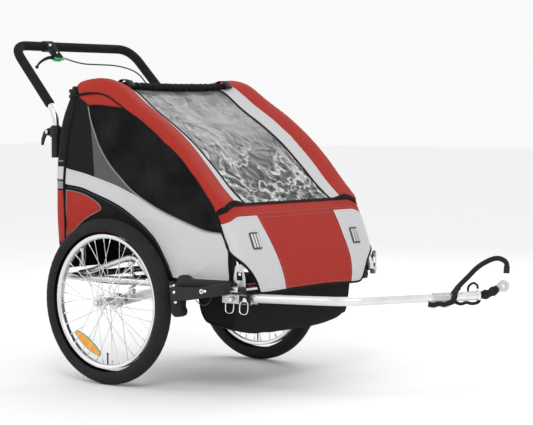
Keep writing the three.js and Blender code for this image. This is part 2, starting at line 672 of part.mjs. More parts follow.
// The front panel's lower corners are cut away in a curve, which leaves the corner brackets free.
function frontPanel() {
  const wall = sheet(frontLine, -FABRIC, -CABIN_HALF_WIDTH + 8, CABIN_HALF_WIDTH - 8);
  const corner = (side) => {
    const shape = new THREE.Shape();
    shape.moveTo(side * 230, 290);
    shape.bezierCurveTo(side * 280, 300, side * 300, 350, side * 330, 430);
    shape.lineTo(side * 400, 430);
    shape.lineTo(side * 400, 200);
    shape.lineTo(side * 230, 200);
    const geometry = new THREE.ExtrudeGeometry(shape, { depth: 120, bevelEnabled: false, curveSegments: 6 });
    geometry.rotateX(Math.PI / 2);
    geometry.rotateZ(Math.PI / 2);
    geometry.translate(430, 0, 0);
    return solid(geometry);
  };
  return wall.translate([GAP, 0, -3 * GAP]).subtract(corner(-1)).subtract(corner(1));
}

const ARCH_RADIUS = 235;

// Side fabric from the base rail to the roof band, cut away behind the wheel.
function sidePanel() {
  const top = offsetLine(roofLine, -49).filter(([x]) => x > -155);
  const arch = [];
  for (let i = 0; i <= 10; i += 1) {
    const angle = THREE.MathUtils.degToRad(21 + (112 * i) / 10);
    arch.push([ARCH_RADIUS * Math.cos(angle) - 40, WHEEL_RADIUS + ARCH_RADIUS * Math.sin(angle)]);
  }
  const outline = [
    ...top, [432, 470], [441, 440], [441, 334], [arch[0][0], 334], ...arch,
    [-203, 452], [-208, 590], [-204, 650], [-188, 754], [-163, 846],
  ];
  return plate(outline, -SIDE_PANEL_Y - FABRIC, -SIDE_PANEL_Y);
}

// The rear wall bulges into a luggage pocket and has short side walls back to the rear seam.
function rearPanel() {
  const line = splineOutline(REAR_LINE, 18);
  const wall = sheet(line, FABRIC, -300, 300);
  const seam = [[-207, 336], [-207, 447], [-212, 590], [-208, 650], [-192, 754], [-168, 850]];
  const cheek = (y0, y1) => plate([...line, ...seam], y0, y1);
  const cheeks = [cheek(-300, -300 + FABRIC), cheek(300 - FABRIC, 300)];
  const bracketHoles = [-1, 1].map((side) => box(
    -300, -230, side * (UPRIGHT_Y - 8), side * (UPRIGHT_Y + 8), TUCK_PIVOT_Z - 12, 740,
  ));
  const cableHole = box(-300, -230, 226, 246, 700, 735);
  const knobRoom = [-1, 1].map((side) => box(-240, -150, side * 258, side * 310, 848, 900));
  return [...bracketHoles, cableHole, ...knobRoom].reduce(
    (whole, cut) => whole.subtract(cut), union(wall, ...cheeks),
  );
}

// A flat floor that drops into a foot well at the front, whose bottom sags between its two sides.
function floorTub() {
  const line = [[-196, 294], [284, 294], [296, 240], [318, 204], [404, 192], [424, 200], [436, 300]];
  const inner = offsetLine(line, FABRIC);
  const sag = (y, z) => (z > 260 ? 0 : TUB_SAG * (1 - (y / TUB_HALF) ** 4) * Math.min(1, (260 - z) / 50));
  const rings = [-1, -0.85, -0.65, -0.35, 0, 0.35, 0.65, 0.85, 1].map((part) => {
    const y = part * TUB_HALF;
    return [...line, ...[...inner].reverse()].map(([x, z]) => [x, y, z - sag(y, z)]);
  });
  const wellSide = (y0, y1) => plate(line.slice(1), y0, y1);
  return union(lofted(rings), wellSide(-TUB_HALF, -TUB_HALF + FABRIC), wellSide(TUB_HALF - FABRIC, TUB_HALF));
}

function seatCushion() {
  return box(-84, 262, -248, 248, 390, 408);
}

function seatBack() {
  return plate([[-86, 412], [-70, 412], [-128, 806], [-144, 806]], -250, 250);
}

// Two shoulder straps joined by a chest clip, lying on the seat back.
function harness(side) {
  const middle = side * 122;
  const lean = (z) => -67.5 + ((z - 412) * -58) / 394;
  const strap = (y) => plate([
    [lean(430), 430], [lean(430) + 3, 430], [lean(760) + 3, 760], [lean(760), 760],
  ], y - 12, y + 12);
  const clip = box(lean(620) + 1, lean(620) + 9, middle - 50, middle + 50, 610, 630);
  const buckle = box(lean(440) + 0.6, lean(440) + 12, middle - 52, middle + 52, 432, 452);
  return union(strap(middle - 38), strap(middle + 38), clip, buckle);
}

// ---- assembly --------------------------------------------------------------------------------------------
const trailer = new THREE.Group();

function add(name, finish, shape) {
  const [color, roughness, metalness] = FINISHES[finish];
  const mesh = new THREE.Mesh(geometryOf(shape), new THREE.MeshStandardMaterial({ color, roughness, metalness }));
  mesh.name = name;
  trailer.add(mesh);
}

// Both sides of the trailer: the right side is built, and the left is its mirror image.
const PAIRS = [
  ["tyre", "rubber", tyre], ["rim", "silver", rim], ["hub_spokes", "chrome", hubWithSpokes],
  ["wheel_reflector", "amber", wheelReflector], ["side_rail", "silver", sideRail],
  ["suspension_hoop", "silver", suspensionHoop], ["trailing_arm", "steel", trailingArm],
  ["suspension_spring", "chrome", suspensionSpring],
  ["rear_upright", "silver", upright], ["corner_knob", "black_plastic", cornerKnob],
  ["handle_socket", "black_plastic", handleSocket], ["clamp_lever", "black_plastic", clampLever],
  ["roof_tube", "silver", roofTube], ["side_panel", "grey_fabric", sidePanel],
];
for (const [name, finish, build] of PAIRS) {
  const right = build();
  add(`${name}_right`, finish, right);
  add(`${name}_left`, finish, mirrored(right, 1));
}

// The left guard and bracket stop short, with no tow bar beside them.
add("side_guard_right", "black_plastic", sideGuard());
add("side_guard_left", "black_plastic", mirrored(sideGuard().subtract(box(425, 500, -400, -340, 260, 350)), 1));
add("corner_bracket_right", "silver", cornerBracket());
add("corner_bracket_left", "silver", mirrored(cornerBracket().subtract(box(495, 530, -345, -320, 300, 400)), 1));

const crossbar = (x, z, half, radius) => bar([x, -half, z], [x, half, z], radius, 14);
add("rear_crossbar", "silver", crossbar(-205, RAIL_Z - 0.5, RAIL_Y - RAIL_RADIUS - GAP, RAIL_RADIUS));
add("pivot_crossbar", "silver", crossbar(PIVOT.x, PIVOT.z - 1.5, 276, 9));
add("front_crossbar", "silver", crossbar(452, RAIL_Z, RAIL_Y - RAIL_RADIUS - GAP, RAIL_RADIUS));
add("rear_top_crossbar", "silver", crossbar(
  UPRIGHT_TOP.x, UPRIGHT_TOP.z - 6, UPRIGHT_Y - TUBE_RADIUS - GAP, TUBE_RADIUS,
));
add("handle_tube", "silver", handleTube());
add("handle_foam", "foam", handleFoam());
add("brake_lever_mount", "black_plastic", leverMount());
add("brake_lever", "black_plastic", brakeLever());
add("brake_cable_upper", "black_plastic", tube(smooth(UPPER_CABLE, 28), 2.4, 8));
add("brake_cable_lower", "black_plastic", tube(smooth(LOWER_CABLE, 30), 2.4, 8));
add("roof_cover", "red_fabric", roofCover());
add("window_pane", "clear_vinyl", windowPane());
add("front_panel", "red_fabric", frontPanel());
add("rear_panel", "black_fabric", rearPanel());
add("floor_tub", "black_fabric", floorTub());
add("seat_cushion", "black_fabric", seatCushion());
add("seat_back", "black_fabric", seatBack());
add("harness_right", "black_fabric", harness(-1));
add("harness_left", "black_fabric", harness(1));
add("tow_socket", "silver", towSocket());
add("pivot_pin", "chrome", ringPin(TOW_PIVOT.x));
add("lock_pin", "chrome", ringPin(LOCK_PIN_X));
add("tow_bar", "silver", towBar());
add("tow_coupler", "silver", coupler());
add("hook_pin", "black_plastic", hookPin());
add("flex_joint", "rubber", flexJoint());
add("axle_plate", "steel", axlePlate());
add("safety_strap", "black_fabric", safetyStrap());

trailer.position.x = -BOX_CENTRE_X;

export default trailer;
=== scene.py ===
# The looks of a child bicycle trailer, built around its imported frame.
# Places in this file are millimetres from the ground under the wheel axle, +X forward and +Y left.
import json
import math

import bmesh
import bpy
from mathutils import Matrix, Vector, geometry, noise


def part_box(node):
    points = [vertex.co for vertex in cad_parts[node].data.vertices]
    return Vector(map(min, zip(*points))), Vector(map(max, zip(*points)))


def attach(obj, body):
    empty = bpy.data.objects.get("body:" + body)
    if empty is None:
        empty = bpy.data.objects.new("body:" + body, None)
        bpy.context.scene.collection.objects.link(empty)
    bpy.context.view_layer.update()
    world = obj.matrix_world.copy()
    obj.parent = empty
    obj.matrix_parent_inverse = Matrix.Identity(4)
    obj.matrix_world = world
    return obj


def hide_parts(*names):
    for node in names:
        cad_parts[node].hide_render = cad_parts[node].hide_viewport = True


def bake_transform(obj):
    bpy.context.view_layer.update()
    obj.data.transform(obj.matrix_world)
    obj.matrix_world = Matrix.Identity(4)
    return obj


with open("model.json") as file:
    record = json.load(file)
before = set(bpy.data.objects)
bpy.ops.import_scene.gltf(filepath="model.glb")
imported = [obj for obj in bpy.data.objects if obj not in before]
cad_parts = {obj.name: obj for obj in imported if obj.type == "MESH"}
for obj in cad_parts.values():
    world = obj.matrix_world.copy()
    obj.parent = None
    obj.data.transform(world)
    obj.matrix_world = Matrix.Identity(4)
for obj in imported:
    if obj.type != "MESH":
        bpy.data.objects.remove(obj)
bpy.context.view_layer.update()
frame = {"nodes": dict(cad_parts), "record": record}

# ---- driving dimensions ----
WHEEL_LOW, WHEEL_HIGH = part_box("tyre_right")
AXLE_X = (WHEEL_LOW.x + WHEEL_HIGH.x) / 2
MM = 0.001
WHEEL_RADIUS = 250
WHEEL_PLANE = 358.5
TYRE_SECTION = 23.5
RIM_INNER = 189.5
RIM_OUTER = 202.5
SPOKE_COUNT = 36
FLANGE_OFFSET = 30
FLANGE_RADIUS = 24

SIDE_Y = 329  # plane of the side fabric
SEAM_Y = 322  # where the rear panel meets it

HANDLE_Y = 286
HANDLE_X = -288
HANDLE_TOP = (-494, 272, 1030)
TOW_Y = -330
TOW_BEND = (869, -330, 304)
TOW_END = (1010, -130, 309)

ROOF_LINE = [
    (-190, 890), (-130, 914), (-60, 919), (0, 902), (75, 852), (160, 800), (240, 740), (315, 666), (370, 605),
    (420, 557),
]
FRONT_LINE = [(421, 555), (446, 505), (472, 440), (489, 388), (499, 340), (500, 300)]
REAR_LINE = [
    (-190, 886), (-229, 814), (-246, 762), (-257, 697), (-263, 640), (-264, 576), (-258, 420), (-240, 334),
]
SEAM_LINE = [
    (-150, 890), (-157, 864), (-172, 805), (-188, 754), (-197, 702), (-204, 650), (-208, 590), (-205, 525),
    (-204, 440), (-206, 334),
]


def at(x, y, z):
    """A place in the row frame, in metres, from millimetres off the axle's ground point."""
    return Vector((x * MM + AXLE_X, y * MM, z * MM))


# ---- shapes ----
class Shape:
    """Points, faces and flat cloth coordinates, in millimetres."""

    def __init__(self, points=(), faces=(), uvs=None):
        self.points = [Vector(p) for p in points]
        self.faces = [tuple(f) for f in faces]
        self.uvs = list(uvs) if uvs else [(p.x + p.y, p.z) for p in self.points]

    def mirrored(self):
        points = [Vector((p.x, -p.y, p.z)) for p in self.points]
        return Shape(points, [f[::-1] for f in self.faces], self.uvs)


def join(shapes):
    whole = Shape()
    for shape in shapes:
        shift = len(whole.points)
        whole.points += shape.points
        whole.faces += [tuple(i + shift for i in f) for f in shape.faces]
        whole.uvs += shape.uvs
    return whole


def grid(rows, closed_across=False):
    """A sheet of quads through rows of points."""
    points, faces, uvs = [], [], []
    count = len(rows[0])
    along = 0.0
    for i, row in enumerate(rows):
        if i:
            along += (Vector(row[count // 2]) - Vector(rows[i - 1][count // 2])).length
        across = 0.0
        for j, p in enumerate(row):
            if j:
                across += (Vector(p) - Vector(row[j - 1])).length
            points.append(p)
            uvs.append((across, along))
    wrap = count if closed_across else count - 1
    for i in range(len(rows) - 1):
        for j in range(wrap):
            k = (j + 1) % count
            faces.append((i * count + j, i * count + k, (i + 1) * count + k, (i + 1) * count + j))
    return Shape(points, faces, uvs)


def capped(rows):
    """A tube of closed rows with a face at each end."""
    shape = grid(rows, closed_across=True)
    n = len(rows[0])
    last = (len(rows) - 1) * n
    shape.faces += [tuple(reversed(range(n))), tuple(last + i for i in range(n))]
    return shape


def clamped(t):
    return max(0, min(1, t))


def hump(t):
    """Rises from 0 to 1 and falls back to 0 as t goes from 0 to 1."""
    return math.sin(math.pi * clamped(t))


def rough(x, y, z):
    """Smooth noise from -1 to 1 that is the same on every run."""
    return noise.noise(Vector((x, y, z)))


def turns(count):
    """Even angles round a full turn."""
    return [2 * math.pi * i / count for i in range(count)]


def circle(radius, sides=14):
    return [(radius * math.cos(a), radius * math.sin(a)) for a in turns(sides)]


def flat_section(width, thickness):
    """A webbing or tape section with soft corners."""
    w, t = width / 2, thickness / 2
    c = min(t, w) * 0.6
    return [(w, -t + c), (w, t - c), (w - c, t), (-w + c, t), (-w, t - c), (-w, -t + c), (-w + c, -t),
            (w - c, -t)]


def sweep(chain, section, up=None, closed=False, scale=None):
    """A section carried along a chain of points without twisting; up fixes the section's second direction."""
    chain = [Vector(p) for p in chain]
    count = len(chain)
    rows = []
    normal = None
    for i, p in enumerate(chain):
        before = chain[i - 1] if (i or closed) else p
        after = chain[(i + 1) % count] if (i < count - 1 or closed) else p
        tangent = (after - before).normalized()
        if up is not None:
            hint = Vector(up(p) if callable(up) else up)
            normal = (hint - tangent * hint.dot(tangent)).normalized()
        elif normal is None:
            hint = Vector((0, 0, 1)) if abs(tangent.z) < 0.9 else Vector((1, 0, 0))
            normal = (hint - tangent * hint.dot(tangent)).normalized()
        else:
            normal = (normal - tangent * normal.dot(tangent)).normalized()
        side = tangent.cross(normal)
        k = scale(i / (count - 1)) if scale else 1.0
        rows.append([p + side * (a * k) + normal * (b * k) for a, b in section])
    return grid(rows + rows[:1], closed_across=True) if closed else capped(rows)


def tube(chain, radius, sides=14, **options):
    return sweep(chain, circle(radius, sides), **options)


def slab(outline, x0, x1):
    """An outline in the Y-Z plane between two X values."""
    shape = plate(outline, x0, x1)
    return Shape([(y, x, z) for x, y, z in shape.points], [tuple(reversed(face)) for face in shape.faces])


def bar(start, end, radius, sides=20):
    return tube([start, end], radius, sides)


def rounded(corners, distance=40, steps=8):
    """Corner points joined by straight lines, each rounded over a distance or over its own fourth value."""
    points = [Vector(c[:3]) for c in corners]
    chain = [points[0]]
    for i in range(1, len(points) - 1):
        room = corners[i][3] if len(corners[i]) > 3 else distance
        room = min(room, (points[i] - points[i - 1]).length * 0.45, (points[i] - points[i + 1]).length * 0.45)
        start = points[i] + (points[i - 1] - points[i]).normalized() * room
        end = points[i] + (points[i + 1] - points[i]).normalized() * room
        for k in range(steps + 1):
            t = k / steps
            chain.append(start * (1 - t) ** 2 + points[i] * (2 * t * (1 - t)) + end * t ** 2)
    chain.append(points[-1])
    return chain


def smooth(points, count):
    """Evenly spaced points on a smooth curve through the given ones."""
    points = [Vector(p) for p in points]
    dense = []
    ends = [points[0] * 2 - points[1]] + points + [points[-1] * 2 - points[-2]]
    for p0, p1, p2, p3 in zip(ends, ends[1:], ends[2:], ends[3:]):
        for k in range(12):
            t = k / 12
            dense.append(0.5 * (2 * p1 + (p2 - p0) * t + (2 * p0 - 5 * p1 + 4 * p2 - p3) * t ** 2
                                + (3 * p1 - p0 - 3 * p2 + p3) * t ** 3))
    dense.append(points[-1])
    return spaced(dense, count)


def spaced(chain, count):
    """Points at even lengths along a chain."""
    lengths = [0.0]
    for a, b in zip(chain, chain[1:]):
        lengths.append(lengths[-1] + (b - a).length)
    result = []
    k = 0
    for i in range(count):
        goal = lengths[-1] * i / (count - 1)
        while k < len(chain) - 2 and lengths[k + 1] < goal:
            k += 1
        span = lengths[k + 1] - lengths[k]
        result.append(chain[k].lerp(chain[k + 1], (goal - lengths[k]) / span if span else 0))
    return result


def line_2d(points, count):
    return [(p.x, p.z) for p in smooth([(x, 0, z) for x, z in points], count)]


def lathe(profile, centre, axis="y", sides=48):
    """A closed profile of (radius, place along the axis) turned about the axis through centre."""
    rows = []
    for angle in turns(sides):
        row = []
        for r, d in profile:
            p = [r * math.cos(angle), r * math.sin(angle)]
            p.insert("xyz".index(axis), d)
            row.append(tuple(c + v for c, v in zip(centre, p)))
        rows.append(row)
    return grid(rows + rows[:1], closed_across=True)


def plate(outline, y0, y1):
    """An outline in the X-Z plane between two Y values."""
    n = len(outline)
    points = [(x, y0, z) for x, z in outline] + [(x, y1, z) for x, z in outline]
    faces = [tuple(range(n)), tuple(reversed(range(n, 2 * n)))]
    faces += [(i, n + i, n + (i + 1) % n, (i + 1) % n) for i in range(n)]
    return Shape(points, faces)


def block(x0, x1, y0, y1, z0, z1):
    return plate([(x0, z0), (x1, z0), (x1, z1), (x0, z1)], y0, y1)


def inside(p, outline):
    hit = False
    for (ax, ay), (bx, by) in zip(outline, outline[1:] + outline[:1]):
        if (ay > p[1]) != (by > p[1]) and p[0] < (bx - ax) * (p[1] - ay) / (by - ay) + ax:
            hit = not hit
    return hit


def edge_distance(p, outline):
    best = 1e9
    q = Vector(p)
    for a, b in zip(outline, outline[1:] + outline[:1]):
        a, b = Vector(a), Vector(b)
        span = (b - a).length_squared
        t = clamped((q - a).dot(b - a) / span) if span else 0
        best = min(best, (q - a - (b - a) * t).length)
    return best


def filled(outline, step, lift):
    """A flat outline filled with even triangles, each point raised into space by lift(u, v)."""
    ring = []
    for a, b in zip(outline, outline[1:] + outline[:1]):
        a, b = Vector(a), Vector(b)
        parts = max(1, round((b - a).length / step))
        ring += [a.lerp(b, k / parts) for k in range(parts)]
    flat = [tuple(p) for p in ring]
    xs = [p[0] for p in flat]
    ys = [p[1] for p in flat]
    row = 0
    y = min(ys) + step / 2
    inner = []
    while y < max(ys):
        x = min(xs) + (step / 2 if row % 2 else 0)
        while x < max(xs):
            if inside((x, y), flat) and edge_distance((x, y), outline) > step * 0.55:
                inner.append(Vector((x, y)))
            x += step
        y += step * 0.866
        row += 1
    result = geometry.delaunay_2d_cdt(ring + inner, [], [list(range(len(ring)))], 1, 1e-4)
    corners, faces = result[0], result[2]
    points = [lift(p.x, p.y) for p in corners]
    return Shape(points, faces, [(p.x, p.y) for p in corners])


# ---- surfaces ----
def shader(name, color, roughness, metallic=0.0, **sockets):
    material = bpy.data.materials.new(name)
    material.use_nodes = True
    principled = material.node_tree.nodes["Principled BSDF"]
    principled.inputs["Base Color"].default_value = (*color, 1)
    principled.inputs["Roughness"].default_value = roughness
    principled.inputs["Metallic"].default_value = metallic
    for key, value in sockets.items():
        principled.inputs[key.replace("_", " ")].default_value = value
    return material, material.node_tree, principled


def coordinates(tree, kind="Object"):
    return tree.nodes.new("ShaderNodeTexCoord").outputs[kind]


def noise_texture(tree, vector, scale, detail=3.0, roughness=0.55, distortion=0.0):
    node = tree.nodes.new("ShaderNodeTexNoise")
    node.inputs["Distortion"].default_value = distortion
    node.inputs["Scale"].default_value = scale
    node.inputs["Detail"].default_value = detail
    node.inputs["Roughness"].default_value = roughness
    tree.links.new(vector, node.inputs["Vector"])
    return node.outputs["Fac"]


def ramp(tree, factor, stops):
    node = tree.nodes.new("ShaderNodeValToRGB")
    elements = node.color_ramp.elements
    while len(elements) < len(stops):
        elements.new(0.5)
    for element, (place, color) in zip(elements, stops):
        element.position = place
        element.color = (*color, 1) if len(color) == 3 else color
    tree.links.new(factor, node.inputs["Fac"])
    return node.outputs["Color"]


def bump(tree, height, principled, distance, strength=0.6, below=None):
    node = tree.nodes.new("ShaderNodeBump")
    node.inputs["Distance"].default_value = distance
    node.inputs["Strength"].default_value = strength
    tree.links.new(height, node.inputs["Height"])
    if below is not None:
        tree.links.new(below, node.inputs["Normal"])
    tree.links.new(node.outputs["Normal"], principled.inputs["Normal"])
    return node.outputs["Normal"]


def tinted(color, factor):
    return tuple(min(1.0, c * factor) for c in color)


def weave(tree, pitch):
    """Plain weave: two bands of waves crossing in the cloth's own flat coordinates."""
    uv = coordinates(tree, "UV")
    bands = []
    for direction in ("X", "Y"):
        node = tree.nodes.new("ShaderNodeTexWave")
        node.bands_direction = direction
        node.wave_profile = "SIN"
        node.inputs["Scale"].default_value = 0.314 / (pitch * MM)
        node.inputs["Distortion"].default_value = 0.6
        node.inputs["Detail"].default_value = 1.0
        tree.links.new(uv, node.inputs["Vector"])
        bands.append(node.outputs["Fac"])
    product = tree.nodes.new("ShaderNodeMath")
    product.operation = "MULTIPLY"
    tree.links.new(bands[0], product.inputs[0])
    tree.links.new(bands[1], product.inputs[1])
    return product.outputs[0]


def woven(name, color, pitch=1.6, mottle=0.16, roughness=0.82, sheen=0.04, shine=0.25):
    material, tree, principled = shader(name, color, roughness, Sheen_Weight=sheen, Sheen_Roughness=0.5,
                                        Specular_IOR_Level=shine)
    place = coordinates(tree)
    speckle = noise_texture(tree, place, 240, 4)
    cloudy = ramp(tree, speckle, [(0.3, tinted(color, 1 - mottle)), (0.72, tinted(color, 1 + mottle))])
    tree.links.new(cloudy, principled.inputs["Base Color"])
    soft = noise_texture(tree, place, 14, 4)
    first = bump(tree, soft, principled, 0.0072, 0.35)
    bump(tree, weave(tree, pitch), principled, 0.0005, 0.5, below=first)
    return material


def metal(name, color, roughness, grain=900, strength=0.15):
    material, tree, principled = shader(name, color, roughness, metallic=1.0)
    place = coordinates(tree)
    fine = noise_texture(tree, place, grain, 2)
    wide = noise_texture(tree, place, 22, 4)
    worn = ramp(tree, wide, [(0.35, tinted(color, 0.9)), (0.7, color)])
    tree.links.new(worn, principled.inputs["Base Color"])
    rough = ramp(tree, wide, [(0.3, (roughness * 0.8,) * 3), (0.75, (roughness * 1.3,) * 3)])
    tree.links.new(rough, principled.inputs["Roughness"])
    bump(tree, fine, principled, 0.0002, strength)
    return material


def moulded(name, color, roughness, grain=700, depth=0.0003, shine=0.5):
    material, tree, principled = shader(name, color, roughness, Specular_IOR_Level=shine)
    place = coordinates(tree)
    fine = noise_texture(tree, place, grain, 3)
    wide = noise_texture(tree, place, 30, 4)
    tone = ramp(tree, wide, [(0.3, tinted(color, 0.8)), (0.75, tinted(color, 1.25))])
    tree.links.new(tone, principled.inputs["Base Color"])
    bump(tree, fine, principled, depth, 0.4)
    return material


def clear_vinyl():
    """Soft clear sheet whose colour is painted reflection and shade: an even grey above, and crumples painted
    from dark shade to white glints towards its lower edge.
    """
    material, tree, principled = shader("clear_vinyl", (0.2, 0.2, 0.205), 0.2, Alpha=0.9, Coat_Weight=0.03,
                                        Specular_IOR_Level=0.12)
    place = coordinates(tree)
    # painted reflection: broad patches of lighter and darker grey in the sheet's colour
    painted_calm_reflection = ramp(tree, noise_texture(tree, place, 3.2, 3, 0.5, 1.0),
                [(0.3, (0.08,) * 3), (0.45, (0.15,) * 3), (0.5, (0.24,) * 3), (0.55, (0.16,) * 3),
                 (0.75, (0.2,) * 3)])
    # painted shade and glints: the crumples' colour runs from near black to white (0.75), standing in for
    # their shading and highlights
    painted_crumple_glints = ramp(tree, noise_texture(tree, place, 6.5, 2.5, 0.5, 1.8),
                 [(0.3, (0.035,) * 3), (0.4, (0.16,) * 3), (0.46, (0.05,) * 3), (0.5, (0.24,) * 3),
                  (0.53, (0.75,) * 3), (0.56, (0.2,) * 3), (0.63, (0.04,) * 3), (0.7, (0.36,) * 3)])
    height = tree.nodes.new("ShaderNodeSeparateXYZ")
    tree.links.new(place, height.inputs[0])
    # below about 0.62 m the painted crumple shade and glints take over from the painted grey
    low = ramp(tree, height.outputs["Z"], [(0.62, (1, 1, 1)), (0.76, (0.12, 0.12, 0.12))])
    blend = tree.nodes.new("ShaderNodeMix")
    blend.data_type = "RGBA"
    tree.links.new(low, blend.inputs[0])
    tree.links.new(painted_calm_reflection, blend.inputs[6])
    tree.links.new(painted_crumple_glints, blend.inputs[7])
    tree.links.new(blend.outputs[2], principled.inputs["Base Color"])
    ripple = noise_texture(tree, place, 11, 4, 0.55, 1.2)
    bump(tree, ripple, principled, 0.008, 0.6)
    return material


def netting():
    material, tree, principled = shader("black_netting", (0.008, 0.008, 0.009), 0.8, Alpha=0.88,
                                        Specular_IOR_Level=0.12)
    bump(tree, weave(tree, 2.4), principled, 0.0006, 0.6)
    # painted fold shading: the netting's black is lighter and darker in broad soft patches for its creases
    folds = noise_texture(tree, coordinates(tree), 12, 3)
    tone = ramp(tree, folds, [(0.35, (0.003, 0.003, 0.0035)), (0.75, (0.016, 0.016, 0.017))])
    tree.links.new(tone, principled.inputs["Base Color"])
    return material


SURFACES = {
    "red": woven("red_fabric", (0.36, 0.022, 0.013), mottle=0.22),
    "light": woven("light_grey_fabric", (0.56, 0.56, 0.57), mottle=0.06),
    "middle": woven("middle_grey_fabric", (0.27, 0.27, 0.28), mottle=0.08),
    "dark": woven("dark_grey_fabric", (0.085, 0.085, 0.09), mottle=0.1),
    "black": woven("black_fabric", (0.009, 0.009, 0.0095), mottle=0.25, sheen=0.01, shine=0.12),
    "seat": woven("seat_fabric", (0.02, 0.02, 0.022), pitch=2.2, mottle=0.25),
    "binding": woven("black_binding", (0.005, 0.005, 0.0055), pitch=1.2, mottle=0.15, roughness=0.75,
                     sheen=0.0, shine=0.15),
    "webbing": woven("webbing", (0.008, 0.008, 0.009), pitch=2.6, mottle=0.2, roughness=0.65, sheen=0.01),
    "piping": woven("grey_piping", (0.24, 0.24, 0.245), pitch=1.2, mottle=0.06, roughness=0.6),
    "netting": netting(),
    "vinyl": clear_vinyl(),
    "silver": metal("silver_tube", (0.8, 0.81, 0.82), 0.3),
    "chrome": metal("chrome", (0.85, 0.85, 0.86), 0.16, strength=0.05),
    "steel": metal("steel", (0.66, 0.67, 0.68), 0.34, strength=0.3),
    "black_plastic": moulded("black_plastic", (0.01, 0.01, 0.0105), 0.5, shine=0.3),
    "foam": moulded("foam_grip", (0.012, 0.012, 0.013), 0.9, grain=1100, depth=0.0012, shine=0.15),
    "rubber": moulded("rubber", (0.01, 0.01, 0.0105), 0.7, shine=0.25),
    "tyre": moulded("tyre_rubber", (0.013, 0.013, 0.0135), 0.75, grain=500, depth=0.0006, shine=0.22),
    "cable": moulded("cable_sheath", (0.02, 0.02, 0.021), 0.35),
    "amber": moulded("amber_lens", (0.9, 0.36, 0.035), 0.2, grain=90, depth=0.001),
    "teal": moulded("teal_edge", (0.02, 0.42, 0.4), 0.3),
    "green": moulded("green_adjuster", (0.03, 0.42, 0.09), 0.3),
    "knurled": metal("knurled", (0.74, 0.74, 0.75), 0.3, grain=210, strength=1.0),
    "badge": metal("badge_silver", (0.6, 0.6, 0.61), 0.34),
}

# the frame's material slot that each surface belongs to, where a piece names no other
SLOT_FOR = {
    "tyre": "tyre", "silver": "silver_tube", "steel": "silver_tube", "chrome": "steel", "knurled": "steel",
    "amber": "amber", "teal": "amber", "black_plastic": "black_plastic", "rubber": "black_plastic",
    "green": "black_plastic", "cable": "cable", "binding": "black_fabric", "black": "black_fabric",
    "netting": "black_fabric", "webbing": "webbing", "light": "grey_fabric", "dark": "grey_fabric",
    "piping": "grey_fabric", "middle": "grey_fabric", "badge": "grey_fabric", "foam": "foam",
    "red": "red_fabric", "vinyl": "clear_vinyl",
}


# ---- pieces ----
def settle(piece):
    """Applies a piece's modifiers to its mesh."""
    graph = bpy.context.evaluated_depsgraph_get()
    mesh = bpy.data.meshes.new_from_object(piece.evaluated_get(graph))
    old = piece.data
    piece.modifiers.clear()
    piece.data = mesh
    bpy.data.meshes.remove(old)


def finish_mesh(piece, bevel, angle):
    if bevel:
        edge = piece.modifiers.new("edge", "BEVEL")
        edge.width = bevel * MM
        edge.segments = 2
        edge.limit_method = "ANGLE"
        edge.angle_limit = math.radians(35)
        settle(piece)
    piece.data.shade_smooth()
    piece.data.set_sharp_from_angle(angle=math.radians(angle))


def place(shape, name, surface, body, replaces=(), slot=None, bevel=0.0, thickness=0.0, angle=40,
          bend=None, held=None):
    """Makes a piece from a shape, in metres in the row frame, and, where no bend is given, parents it to its
    body's empty.
    """
    mesh = bpy.data.meshes.new(name)
    mesh.from_pydata([at(*p) for p in shape.points], [], shape.faces)
    layer = mesh.uv_layers.new(name="cloth")
    for loop in mesh.loops:
        u, v = shape.uvs[loop.vertex_index]
        layer.data[loop.index].uv = (u * MM, v * MM)
    work = bmesh.new()
    work.from_mesh(mesh)
    bmesh.ops.remove_doubles(work, verts=work.verts, dist=1e-6)
    bmesh.ops.recalc_face_normals(work, faces=work.faces)
    work.to_mesh(mesh)
    work.free()
    mesh.materials.append(SURFACES[surface])
    piece = bpy.data.objects.new(name, mesh)
    bpy.context.scene.collection.objects.link(piece)
    if thickness:
        shell = piece.modifiers.new("thickness", "SOLIDIFY")
        shell.thickness = thickness * MM
        shell.offset = 0
        settle(piece)
    finish_mesh(piece, bevel, angle)
    if bend:
        at(*bend[1])
        at(*bend[2])
        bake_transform(piece)
    else:
        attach(piece, body)
    slot or SLOT_FOR[surface]
    if replaces:
        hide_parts(*replaces)
    if held:
        size, area = cut(shape)
        if min(size) < 0.012:
            return piece
    return piece


def cut(shape):
    """The smallest rectangle a cloth's flat piece fits in, and the cloth's own area, in metres."""
    sizes = []
    for degrees in range(0, 90, 3):
        turn = Vector((math.cos(math.radians(degrees)), math.sin(math.radians(degrees))))
        first = [Vector(p).dot(turn) for p in shape.uvs]
        second = [Vector(p).dot(Vector((-turn.y, turn.x))) for p in shape.uvs]
        sizes.append(((max(first) - min(first)) * MM, (max(second) - min(second)) * MM))
    size = min(sizes, key=lambda pair: pair[0] * pair[1])
    area = 0.0
    for face in shape.faces:
        corners = [shape.points[i] for i in face]
        area += sum(geometry.area_tri(corners[0], b, c) for b, c in zip(corners[1:], corners[2:])) * MM * MM
    whole = size[0] * size[1]
    return size, min(max(area, 0.31 * whole), whole)


def both(shape, name, surface, bodies, replaces=(), bend=None, **options):
    """The same piece on the right and, mirrored, on the left. A body or node ending in _ gets the side."""
    made = []
    for tag, built in (("right", shape), ("left", shape.mirrored())):
        body = bodies + tag if bodies.endswith("_") else bodies
        nodes = [node + tag if node.endswith("_") else node for node in replaces]
        bent = (bend[0] + tag if bend[0].endswith("_") else bend[0], *bend[1:]) if bend else None
        made.append(place(built, f"{name}_{tag}", surface, body, nodes, bend=bent, **options))
    return made


